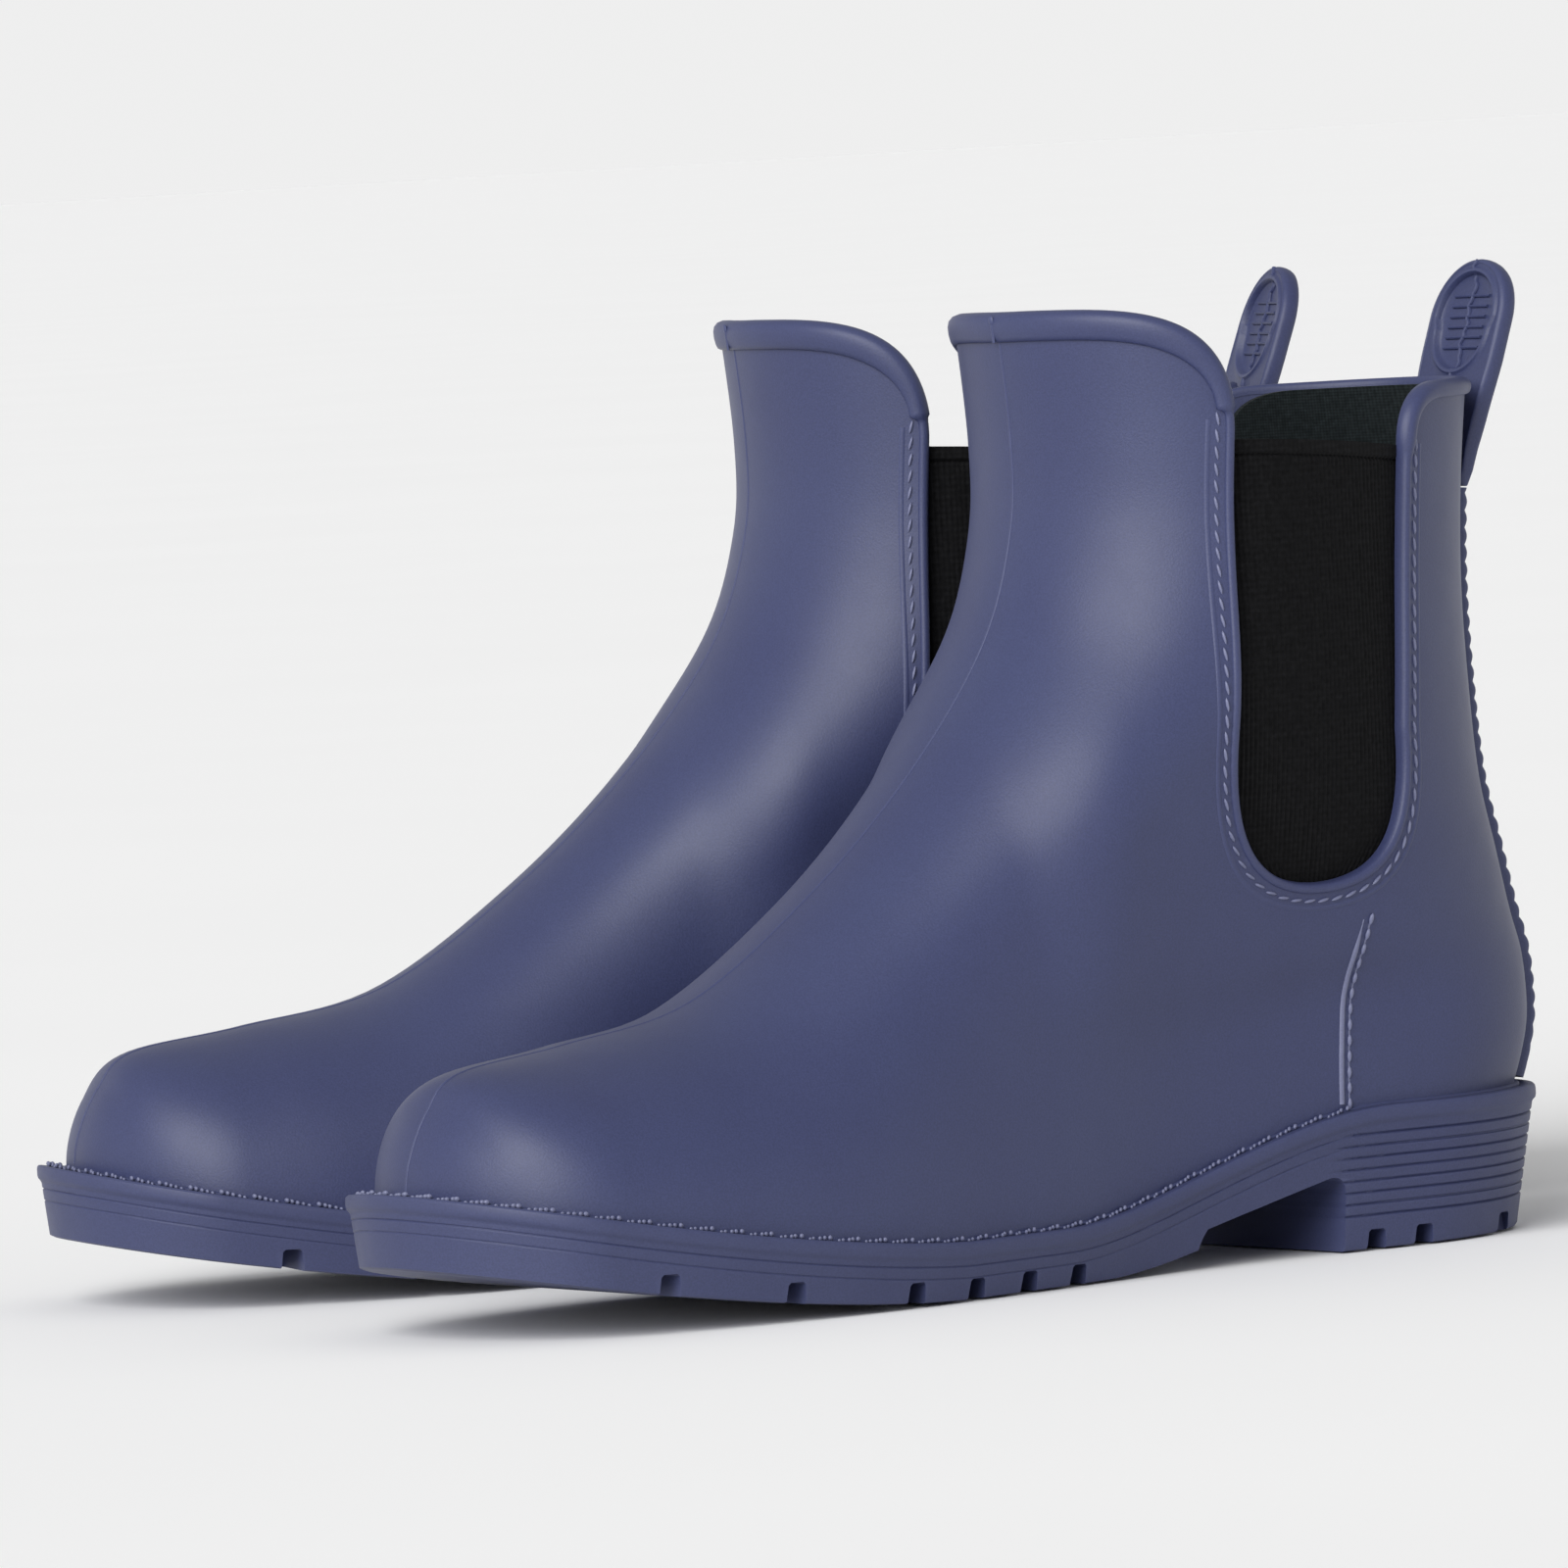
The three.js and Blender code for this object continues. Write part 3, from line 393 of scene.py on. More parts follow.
def make_rings():
    toe_seat = float(seat(np.array(float(UPPER["toe"]))))
    climb = RIM["back"] - SOLE["heel_height"]
    rows = [(SHAFT["front"] + (UPPER["toe"] - SHAFT["front"]) * run, toe_seat + (INSTEP - toe_seat) * rise,
             SHAFT["back"] - bulge, SOLE["heel_height"] + climb * up) for run, rise, bulge, up in RING_SHAPE]
    rows.append((SHAFT["front"], lerp(INSTEP, RIM["front"], 0.46), SHAFT["back"] - 0.9,
                 lerp(SOLE["heel_height"], RIM["back"], 0.87)))
    rows.append((SHAFT["front"] + SHAFT["flare"], RIM["front"] + RIM["allowance"],
                 SHAFT["back"] - 4.5, RIM["back"] + RIM["allowance"]))
    return np.array(rows)


RINGS = make_rings()
TOP_RING = len(RINGS) - 1
OVER_U = np.linspace(0, LAST_FOOT_RING, 3000)
OVER = spline(RINGS, OVER_U)


def skin(u, turn):
    """Points of the skin. turn runs from the back seam (0) over the lateral side to the front (pi)."""
    u, turn = np.broadcast_arrays(np.asarray(u, float), np.mod(turn, 2 * math.pi))
    lateral = turn <= math.pi
    phi = np.where(lateral, turn, 2 * math.pi - turn)
    front_p, front_z, back_p, back_z = np.moveaxis(spline(RINGS, u), -1, 0)
    s = (1 - np.cos(phi)) / 2
    p = lerp(back_p, front_p, s)
    foot_p = lerp(RINGS[0, 2], RINGS[0, 0], s)
    seat_fades = (1 - smooth(u, 0, SKIN["sag_end"])) ** SKIN["sag_power"]
    sag = (seat(foot_p) - lerp(RINGS[0, 3], RINGS[0, 1], s)) * seat_fades
    z = lerp(back_z, front_z, s) + sag
    shaft = smooth(u, *SKIN["shaft"])
    body = np.where(lateral, curve_at(LATERAL, p), curve_at(MEDIAL, p)) - UPPER["inset"]
    width = lerp(body, SHAFT["half"], shaft)
    length = front_p - back_p
    back = end_round(s * length, lerp(HEEL_RUN - 2, SHAFT["back_round"], shaft))
    front = end_round((1 - s) * length, SHAFT["front_round"])
    top = np.interp(-p, -OVER[:, 0], OVER[:, 1])
    share = np.clip((z - seat(p)) / np.maximum(top - seat(p), 1e-6), 0, 1)
    arch = np.sqrt(np.maximum(0, 1 - share ** UPPER["power"]))
    foot_start = RINGS[LAST_FOOT_RING, 0]
    over_foot = np.where(u > 0, smooth(p, foot_start, foot_start + SKIN["vamp_blend"]), 0)
    vamp = end_round(UPPER["toe"] - p, TOE_RUN) * lerp(1, arch, over_foot)
    turned = smooth(u, *SKIN["front_turn"])
    w = width * back * vamp ** (1 - turned) * front ** turned
    return np.stack([np.where(lateral, w, -w), -p, z], -1)


def unit(v):
    return v / np.maximum(np.linalg.norm(v, axis=-1, keepdims=True), 1e-12)


def skin_normal(u, turn):
    step = 0.02
    around = skin(u, turn + step) - skin(u, turn - step)
    up = skin(np.minimum(u + step, TOP_RING), turn) - skin(np.maximum(u - step, 0), turn)
    return unit(np.cross(up, around))


def phi_at(u, p):
    front_p, _, back_p, _ = np.moveaxis(spline(RINGS, u), -1, 0)
    return np.arccos(1 - 2 * np.clip((p - back_p) / (front_p - back_p), 0, 1))


def from_side(p, z, side):
    """(u, turn) of the skin point that the side view shows at (p, z)."""
    p, z = np.broadcast_arrays(np.asarray(p, float), np.asarray(z, float))
    low, high = np.zeros(p.shape), np.full(p.shape, float(TOP_RING))
    for _ in range(HALVINGS):
        u = (low + high) / 2
        below = skin(u, phi_at(u, p))[..., 2] < z
        low, high = np.where(below, u, low), np.where(below, high, u)
    phi = phi_at(low, p)
    return low, phi if side > 0 else 2 * math.pi - phi


# ------------------------------------------------------------------ mesh helpers
def grid_faces(rows, columns, close_rows, close_columns):
    faces = []
    for r in range(rows if close_rows else rows - 1):
        for c in range(columns if close_columns else columns - 1):
            a, b = r * columns + c, r * columns + (c + 1) % columns
            up = ((r + 1) % rows) * columns
            faces.append((a, b, up + (c + 1) % columns, up + c))
    return faces


def end_caps(rows, columns):
    """The two faces that close the first and last row of a grid of closed rows."""
    return [tuple(range(columns))[::-1], tuple(range((rows - 1) * columns, rows * columns))]


def facing_out(points, faces):
    """The faces, reversed if the closed mesh has negative volume."""
    volume = 0.0
    for f in faces:
        for k in range(1, len(f) - 1):
            a, b, c = points[f[0]], points[f[k]], points[f[k + 1]]
            volume += float(np.dot(a, np.cross(b, c)))
    return faces if volume > 0 else [f[::-1] for f in faces]


def loft(rings, close_rows, extra=()):
    """Points and outward faces of a stack of closed rings, plus extra faces that close it."""
    rows, columns = rings.shape[:2]
    points = rings.reshape(-1, 3)
    faces = grid_faces(rows, columns, close_rows, True) + list(extra)
    return points, facing_out(points, faces)


def to_frame(points, side):
    """Boot axes in mm to the row frame in metres: side 1 is the left boot, -1 the right."""
    s, c = math.sin(PAIR["splay"]), math.cos(PAIR["splay"])
    x, back = points[:, 0], points[:, 1] + PAIR["middle"]
    across = x * c - back * s + PAIR["spacing"] / 2
    along = x * s + back * c + side * PAIR["stagger"] / 2 + PAIR["centring"]
    return np.stack([side * across, along, points[:, 2]], 1) * MM


def as_object(name, points, faces, smooth_angle=35):
    mesh = bpy.data.meshes.new(name)
    mesh.from_pydata([tuple(p) for p in points], [], faces)
    mesh.validate()
    mesh.shade_smooth()
    mesh.set_sharp_from_angle(angle=math.radians(smooth_angle))
    made = bpy.data.objects.new(name, mesh)
    bpy.context.scene.collection.objects.link(made)
    return made


def cut(body, cutter):
    """Takes the cutter out of the body, both closed."""
    modifier = body.modifiers.new("cut", "BOOLEAN")
    modifier.operation = "DIFFERENCE"
    modifier.solver = "MANIFOLD"
    modifier.object = cutter
    bpy.context.view_layer.update()
    shown = body.evaluated_get(bpy.context.evaluated_depsgraph_get())
    body.data = bpy.data.meshes.new_from_object(shown)
    body.modifiers.clear()
    bpy.data.objects.remove(cutter)


def joined(parts):
    """One list of points and faces from several."""
    points, faces, base = [], [], 0
    for p, f in parts:
        points.append(p)
        faces += [tuple(i + base for i in face) for face in f]
        base += len(p)
    return np.concatenate(points), faces


def prism(outline, x_low, x_high):
    """Closed solid from a side-view outline of (p, z) pushed across the boot."""
    n = len(outline)
    flat = np.array(outline, float)
    low = np.stack([np.full(n, float(x_low)), -flat[:, 0], flat[:, 1]], 1)
    high = low + (x_high - x_low, 0, 0)
    faces = [(k, (k + 1) % n, n + (k + 1) % n, n + k) for k in range(n)]
    faces += [tuple(range(n))[::-1], tuple(range(n, 2 * n))]
    points = np.concatenate([low, high])
    return points, facing_out(points, faces)


def sweep(centres, normals, sides, profile, closed):
    """Tube of (side, normal) offsets, the same profile for all centres or one for each."""
    profile = np.asarray(profile, float)
    if profile.ndim == 2:
        profile = np.repeat(profile[None], len(centres), 0)
    points = centres[:, None] + sides[:, None] * profile[..., :1] + normals[:, None] * profile[..., 1:]
    return loft(points, closed, () if closed else end_caps(*points.shape[:2]))


def filled(line, step=3):
    """The same line with no stretch longer than step."""
    dense = [line[0]]
    for a, b in zip(line, line[1:]):
        count = max(1, math.ceil(np.linalg.norm(b - a) / step))
        dense += [lerp(a, b, k / count) for k in range(1, count + 1)]
    return np.array(dense)


def path_frames(points, normals):
    """Tangents and the sideways directions of a line on a surface."""
    tangents = unit(np.gradient(points, axis=0))
    return tangents, unit(np.cross(normals, tangents))


def spaced(line, step, closed=False):
    """Parameters of equally spaced places along a line of points."""
    ends = np.concatenate([line, line[:1]]) if closed else line
    along = np.concatenate([[0], np.cumsum(np.linalg.norm(np.diff(ends, axis=0), axis=1))])
    count = max(2, int(round(along[-1] / step)))
    at = np.linspace(0, along[-1], count, endpoint=not closed)
    return np.interp(at, along, np.arange(len(ends)))


def beads(centres, lengthwise, normals, sizes):
    """Small ellipsoids of half sizes (along, across, up)."""
    rings, around = 4, 8
    ball = [(0, 0, 1.0)]
    for r in range(1, rings):
        polar = math.pi * r / rings
        for a in range(around):
            turn = 2 * math.pi * a / around
            out = math.sin(polar)
            ball.append((out * math.cos(turn), out * math.sin(turn), math.cos(polar)))
    ball.append((0, 0, -1.0))
    ball = np.array(ball) * sizes
    faces = [(0, 1 + a, 1 + (a + 1) % around) for a in range(around)]
    for r in range(rings - 2):
        for a in range(around):
            i, j = 1 + r * around + a, 1 + r * around + (a + 1) % around
            faces.append((i, i + around, j + around, j))
    last, tip = 1 + (rings - 2) * around, len(ball) - 1
    faces += [(tip, last + (a + 1) % around, last + a) for a in range(around)]
    across = unit(np.cross(normals, lengthwise))
    axes = np.stack([lengthwise, across, normals], 1)
    points = centres[:, None] + np.einsum("bk,nkd->nbd", ball, axes)
    every = [tuple(i + n * len(ball) for i in f) for n in range(len(centres)) for f in faces]
    return points.reshape(-1, 3), every


# ------------------------------------------------------------------ side-view lines
def bezier(points, count):
    t = np.linspace(0, 1, count)[:, None]
    points = [np.array(p, float) for p in points]
    while len(points) > 1:
        points = [a + (b - a) * t for a, b in zip(points, points[1:])]
    return points[0]


def gore_u(grow, steps=26):
    """The U of a gore window from its front edge to its rear edge."""
    front, rear = GORE["front_low"] + grow, GORE["rear_low"] - grow
    bottom, middle = GORE["bottom"] - grow, (GORE["front_low"] + GORE["rear_low"]) / 2
    low, share = (GORE["low"] + 2 * bottom) / 3, GORE["foot_share"]
    first = bezier([(front, GORE["low"]), (front + GORE["belly"], low),
                    (lerp(front, middle, share), bottom), (middle, bottom)], steps)
    second = bezier([(middle, bottom), (lerp(rear, middle, share), bottom),
                     (rear - GORE["belly"], low), (rear, GORE["low"])], steps)
    return np.concatenate([first, second[1:]])


def edge_p(z, front, grow):
    """Place of a window's straight edge at height z."""
    bend = RIM["front"] - RIM["fall"] if front else RIM["back"] - RIM["back_corner"]
    share = (z - GORE["low"]) / (bend - GORE["low"])
    if front:
        return lerp(GORE["front_low"], GORE["front"], share) + grow
    return lerp(GORE["rear_low"], GORE["rear"], share) - grow


def window_line(grow=0, drop=0):
    """Edge of the shell in the side view: front rim, corner, U, rear corner, back rim."""
    front, rear = GORE["front"] + grow, GORE["rear"] - grow
    top, back = RIM["front"] - drop, RIM["back"] - drop
    corner = bezier([(front + RIM["corner"], top), (front, top), (front, top - RIM["fall"])], 30)
    rear_corner = bezier([(rear, back - RIM["back_corner"]), (rear, back),
                          (rear - RIM["back_corner"], back)], 16)
    return np.concatenate([corner, gore_u(grow), rear_corner])


def open_outline(grow, drop):
    """Closed side-view outline of everything above and inside the shell's edge."""
    far, roof = 70, RIM["front"] + 40
    line = window_line(grow, drop)
    ends = [(SHAFT["back"] - far, line[-1][1]), (SHAFT["back"] - far, roof),
            (SHAFT["front"] + far, roof), (SHAFT["front"] + far, line[0][1])]
    return np.concatenate([line, ends])


# ------------------------------------------------------------------ pieces of one boot
WALL_U = np.concatenate([np.linspace(0, 5, 46), np.linspace(5, TOP_RING, 62)[1:]])
WALL_TURNS = np.linspace(0, 2 * math.pi, 264, endpoint=False)


def wall(depth_out, depth_in):
    """Closed wall that follows the skin between two depths."""
    u, turn = np.meshgrid(WALL_U, WALL_TURNS, indexing="ij")
    base, normal = skin(u, turn), skin_normal(u, turn)
    normal[0, :, 2] = 0
    normal[-1, :, 2] = 0
    normal = unit(normal)
    outer, inner = base - normal * depth_out, base - normal * depth_in
    return loft(np.concatenate([outer, inner[::-1]]), True)


def cut_wall(name, depth_out, depth_in, grow, drop):
    """Wall with the gore windows and the mouth cut out, grown and dropped from the shell's edge."""
    body = as_object(name, *wall(depth_out, depth_in))
    cut(body, as_object("cutter", *prism(open_outline(grow, drop), -75, 75)))
    body.data.shade_smooth()
    body.data.set_sharp_from_angle(angle=math.radians(40))
    return body


def rim_loop(step):
    """The (u, turn) of points spaced by step along the shell's whole edge."""
    line = filled(window_line())
    share = np.linspace(0, 1, 10)
    halves = []
    for side in (1, -1):
        u, turn = from_side(line[:, 0], line[:, 1], side)
        front_turn = lerp(math.pi, turn[0], share)[:-1]
        back_turn = lerp(turn[-1], 0 if side > 0 else 2 * math.pi, share)[1:]
        front_u = np.array([solve_height(RIM["front"], t) for t in front_turn])
        back_u = np.array([solve_height(RIM["back"], t) for t in back_turn])
        halves.append((np.concatenate([front_u, u, back_u]),
                       np.concatenate([front_turn, turn, back_turn])))
    u = np.concatenate([halves[0][0], halves[1][0][::-1][1:-1]])
    turn = np.unwrap(np.concatenate([halves[0][1], halves[1][1][::-1][1:-1]]))
    at = spaced(skin(u, turn), step, closed=True)
    index = np.arange(len(u) + 1)
    whole_turns = round((turn[-1] - turn[0]) / (2 * math.pi))
    closed_turn = np.append(turn, turn[0] + whole_turns * 2 * math.pi)
    return np.interp(at, index, np.append(u, u[0])), np.interp(at, index, closed_turn)


def solve_height(z, turn):
    """The u at which the skin reaches height z at one turn."""
    low, high = 0.0, float(TOP_RING)
    for _ in range(HALVINGS):
        middle = (low + high) / 2
        if skin(middle, turn)[2] < z:
            low = middle
        else:
            high = middle
    return low


# Rim cross-sections: distance down from the shell's edge, height over its skin.
BAND_PROFILE = np.array(((5.2, -0.5), (5.1, 0.35), (4.75, 0.85), (4.0, 1.15), (2.6, 1.35),
                         (1.2, 1.3), (0.2, 1.0), (-0.55, 0.2), (-0.85, -1.0), (-0.7, -2.2),
                         (0.0, -3.0), (1.2, -3.2), (2.2, -2.9), (2.4, -1.5)))
BEAD_PROFILE = np.array(((1.75, -0.5), (1.7, -0.2), (1.6, 0.1), (1.4, 0.38), (1.0, 0.55),
                         (0.55, 0.55), (0.1, 0.35), (-0.2, 0.0), (-0.3, -0.8), (-0.3, -1.8),
                         (-0.1, -2.45), (0.4, -2.65), (0.9, -2.6), (1.2, -1.5)))


def rim_profile(points):
    """Cross-section at each point of the rim: a band in front and behind, a bead round the gores."""
    x, p, z = np.abs(points[:, 0]), -points[:, 1], points[:, 2]
    in_front = p > RIM_BAND["split"]
    on_front = smooth(z, *RIM_BAND["front"]) * in_front
    on_back = smooth(z, *RIM_BAND["back"]) * (p < RIM_BAND["split"])
    share = np.maximum(on_front, RIM_BAND["back_share"] * on_back)[:, None, None]
    profile = lerp(BEAD_PROFILE[None], BAND_PROFILE[None], share)
    profile[..., 1] = np.maximum(profile[..., 1], -RIM["inner_depth"])
    front_width = lerp(RIM_BAND["front_width"], 1, smooth(z, *RIM_BAND["front_narrow"]))
    narrow = np.where(in_front, front_width, RIM_BAND["back_width"])[:, None]
    fade = np.where(p < RIM_BAND["behind_tab"], smooth(x, *RIM_BAND["tab_gap"]), 1)[:, None]
    for k, factor in ((0, lerp(1, narrow, share[..., 0])), (1, fade)):
        profile[..., k] *= np.where(profile[..., k] > 0, factor, 1)
    return profile


def rim_edge():
    """Rolled band on the front and back rims that steps down to a thin bead round the gores."""
    u, turn = rim_loop(RIM_BAND["step"])
    points, normals = skin(u, turn), skin_normal(u, turn)
    closed = np.concatenate([points[-2:], points, points[:2]])
    tangents = unit(np.gradient(closed, axis=0))[2:-2]
    sides = unit(np.cross(normals, tangents))
    if sides[int(np.argmax(points[:, 2])), 2] > 0:
        sides = -sides
    return sweep(points, normals, sides, rim_profile(points), True)


def side_line(line, side, step, lift):
    """Points, tangents, normals and side directions of a side-view line on the skin."""
    line = filled(np.asarray(line))
    u, turn = from_side(line[:, 0], line[:, 1], side)
    at = spaced(skin(u, turn), step)
    index = np.arange(len(u))
    u, turn = np.interp(at, index, u), np.interp(at, index, turn)
    normals = skin_normal(u, turn)
    points = skin(u, turn) + normals * lift
    tangents, sides = path_frames(points, normals)
    return points, tangents, normals, sides


def round_gore(grow):
    """Side-view line down the window's front edge, round its U and up its rear edge."""
    top, rear = STITCH["top"], STITCH["rear"]
    ends = [[(edge_p(z, front, grow), z)] for z, front in ((top, True), (rear, False))]
    return np.concatenate([ends[0], gore_u(grow), ends[1]])


def gore_stitches(side):
    """Moulded stitches that run round a gore, slanted like laid thread."""
    line = round_gore(STITCH["grow"])
    points, tangents, normals, sides = side_line(line, side, STITCH["pitch"], STITCH["lift"])
    return beads(points, unit(tangents + sides * STITCH["slant"]), normals, STITCH["size"])


def gore_groove(side):
    """Raised outer border of the stitch channel."""
    line = round_gore(STITCH["groove_grow"])
    points, _, normals, sides = side_line(line, side, STITCH["groove_step"], 0)
    return sweep(points, normals, sides, oval(*STITCH["groove"]), False)


def oval(half_width, half_height, count=8):
    turn = np.linspace(0, 2 * math.pi, count, endpoint=False)
    return np.stack([half_width * np.cos(turn), half_height * np.sin(turn)], 1)


def front_line(u, lift, profile):
    """Swept line up the front of the skin, and its last point, tangent and normal."""
    turn = np.full(len(u), math.pi)
    normals = skin_normal(u, turn)
    points = skin(u, turn) + normals * lift
    tangents, sides = path_frames(points, normals)
    line = sweep(points, normals, sides, profile, False)
    return line, points[-1:], tangents[-1:], normals[-1:]


def parting_line():
    """Fine raised line from the toe up the front and over the rim band, with a nick at its end."""
    rim, count = RIM["front"], 260
    u = np.linspace(PARTING["start"], solve_height(rim - PARTING["below_rim"], math.pi), count)
    at = spaced(skin(u, np.full(count, math.pi)), PARTING["step"])
    u = np.interp(at, np.arange(count), u)
    line, _, tangent, _ = front_line(u, 0, oval(*PARTING["oval"]))
    heights = np.linspace(rim - PARTING["below_rim"], rim - PARTING["end"], 8)
    over_band = np.array([solve_height(z, math.pi) for z in heights])
    band, end, _, normal = front_line(over_band, PARTING["band_lift"], oval(*PARTING["band_oval"]))
    return joined([line, band, beads(end, tangent, normal, PARTING["nick"])])


def side_seam():
    """Raised double seam on the lateral side with moulded dashes behind it."""
    line = bezier(SEAM["path"], 30)
    points, _, normals, sides = side_line(line, 1, SEAM["step"], 0)
    taper = np.clip(np.linspace(0, 6, len(points)), SEAM["tip"], 1)[:, None, None]
    ridge = sweep(points, normals, sides, oval(*SEAM["ridge"])[None] * taper, False)
    behind = line - (SEAM["behind"], 0)
    points, _, normals, sides = side_line(behind, 1, SEAM["step"], 0)
    base = sweep(points, normals, sides, oval(*SEAM["base"]), False)
    points, tangents, normals, _ = side_line(behind, 1, SEAM["dash_pitch"], SEAM["dash_lift"])
    return joined([ridge, base, beads(points, tangents, normals, SEAM["dash"])])


def back_stay():
    """Raised strip over the back seam, covered by a rope of slanted bumps."""
    half = np.array(STAY_HALF)
    x = np.concatenate([-half[:0:-1, 0], half[:, 0]])
    lift = np.concatenate([half[:0:-1, 1], half[:, 1]])
    rows = int((STAY["high"] - STAY["low"]) / STAY["step"])
    z = np.linspace(STAY["low"], STAY["high"], rows)
    u = np.repeat(np.array([solve_height(h, 0.0) for h in z])[:, None], len(x), 1)
    reach = np.linspace(0, 0.5, 60)
    turn = np.zeros(u.shape)
    for r in range(rows):
        across = skin(np.full(len(reach), u[r, 0]), reach)[:, 0]
        turn[r] = np.sign(x) * np.interp(np.abs(x), across, reach)
    phases = math.pi * (z[:, None] / STAY["pitch"] + x[None] * STAY["slant"])
    bumps = (np.abs(np.sin(phases)) - 1) * smooth(z, *STAY["fade_in"])[:, None]
    height = lift[None] + smooth(np.abs(x), *STAY["rope"])[None] * bumps * STAY["groove"]
    base, normal = skin(u, turn), skin_normal(u, turn)
    outer, inner = base + normal * height[..., None], base - normal * STAY["sunk"]
    rings = np.concatenate([outer, inner[:, ::-1]], 1)
    return loft(rings, False, end_caps(*rings.shape[:2]))


# ------------------------------------------------------------------ pull tab
def tab_line():
    """Centre line of the tab: (distance, p, z, slope) rows, as the CAD strap bends."""
    u = solve_height(RIM["back"] - 22.5, 0.0)
    p = -float(skin(u, 0.0)[1]) - 0.6 - TAB["thickness"] / 2
    z, rows, previous = TAB["root"], [], 0.0
    for k in range(81):
        along = TAB["length"] * k / 80
        slope = lerp(*TAB["lean"], min(1, along / (TAB["length"] * 0.5)))
        norm = math.hypot(1, slope)
        p -= (along - previous) * slope / norm
        z += (along - previous) / norm
        previous = along
        rows.append((along, p, z, slope))
    return np.array(rows)


def tab_half(along):
    return lerp(TAB["root_half"], TAB["half"], smooth(along, 0, TAB["length"] * 0.6))


def on_tab(x, along, lift, line):
    """Places (x, distance along the tab, height over its middle) in boot axes."""
    p, z, slope = (np.interp(along, line[:, 0], line[:, k]) for k in (1, 2, 3))
    norm = np.hypot(1, slope)
    thin = lerp(0.35, 1, smooth(along, 0, 14))
    lift = np.where(lift < 0, lift * thin, lift)
    return np.stack([x, -(p + lift / norm), z + lift * slope / norm], -1)


def tab_outlines(count=120):
    """Outer edge and recess edge along the same rays, the rays' starts on the spine, their directions."""
    low, high, arc = RECESS["low"], RECESS["high"], RECESS["arc_share"]
    share = np.arange(count) / count
    stops = [0, arc, 0.5, 0.5 + arc, 1]
    angle = np.interp(share, stops, [0, math.pi, math.pi, 2 * math.pi, 2 * math.pi])
    centre = np.interp(share, stops, [high, high, low, low, high])
    aim = np.stack([np.cos(angle), np.sin(angle)], 1)
    spine = np.stack([np.zeros(count), centre], 1)
    half = lerp(RECESS["low_half"], RECESS["high_half"], (centre - low) / (high - low))
    steps = np.arange(0, TAB["length"], 0.04)[:, None]
    x, along = spine[:, 0] + steps * aim[:, 0], spine[:, 1] + steps * aim[:, 1]
    crown = TAB["length"] - TAB["half"]
    in_crown, in_plate = np.hypot(x, along - crown) < TAB["half"], np.abs(x) < tab_half(along)
    inside = np.where(along > crown, in_crown, in_plate) & (along > 0)
    reach = steps[np.argmin(inside, axis=0), 0]
    return spine + aim * reach[:, None], spine + aim * half[:, None], spine, aim


def tab_rows(half):
    """Rings of one face from the outer edge to the spine, each with its height."""
    outer, inner, spine, aim = tab_outlines()
    plate_start, plate_end = TAB_BORDER[-1], TAB_LIP[0]
    rows = [(outer - aim * d, half + h) for d, h in TAB_BORDER]
    for share in np.arange(1, 7) / 7:
        edge, lip = outer - aim * plate_start[0], inner + aim * plate_end[0]
        rows.append((lerp(edge, lip, share), half + plate_end[1]))
    rows += [(inner + aim * d, half + h) for d, h in TAB_LIP]
    rows += [(lerp(inner, spine, share), half + h) for share, h in TAB_FLOOR]
    return rows


def tab_strip(x, along, height, sign, line, profile):
    """A raised line on one face of the tab."""
    centre = on_tab(x, along, sign * height, line)
    up = unit(on_tab(x, along, sign * (height + 2.0), line) - centre)
    _, sides = path_frames(centre, up)
    return sweep(centre, up, sides, profile, False)


def tab_plate(line, half):
    """The tab's body: flat border, raised lip round a recess, the same on both faces."""
    rows = []
    for sign in (1, -1):
        face = [on_tab(xy[:, 0], xy[:, 1], np.full(len(xy), sign * h), line) for xy, h in tab_rows(half)]
        rows += face[::-1] if sign > 0 else face
    rings = np.array(rows)
    return loft(rings, False, end_caps(*rings.shape[:2]))


def pull_tab():
    """Round-topped plate with ribs in its recess and a ragged parting line."""
    line, half = tab_line(), TAB["thickness"] / 2
    parts = [tab_plate(line, half)]
    rng = np.random.default_rng(7)
    count = TAB_SEAM["count"]
    seam = np.linspace(TAB_SEAM["start"], TAB["length"] - TAB_SEAM["end_gap"], count)
    waves = sum(size * np.sin(seam * rate) for size, rate in TAB_SEAM["waves"])
    wobble = waves + rng.uniform(-TAB_SEAM["jitter"], TAB_SEAM["jitter"], count)
    inside = (seam > RECESS["low"] - RECESS["low_half"]) & (seam < RECESS["high"] + RECESS["high_half"])
    seam_height = half - np.where(inside, TAB_SEAM["recess_sunk"], TAB_SEAM["sunk"])
    x = np.linspace(-TAB_RIB["half"], TAB_RIB["half"], TAB_RIB["count"])
    for sign in (1, -1):
        for k in range(RECESS["ribs"]):
            along = np.full(len(x), RECESS["first_rib"] - RECESS["rib_pitch"] * k)
            parts.append(tab_strip(x, along, half - TAB_RIB["sunk"], sign, line, oval(*TAB_RIB["oval"])))
        parts.append(tab_strip(wobble, seam, seam_height, sign, line, oval(*TAB_SEAM["oval"])))
    return joined(parts)


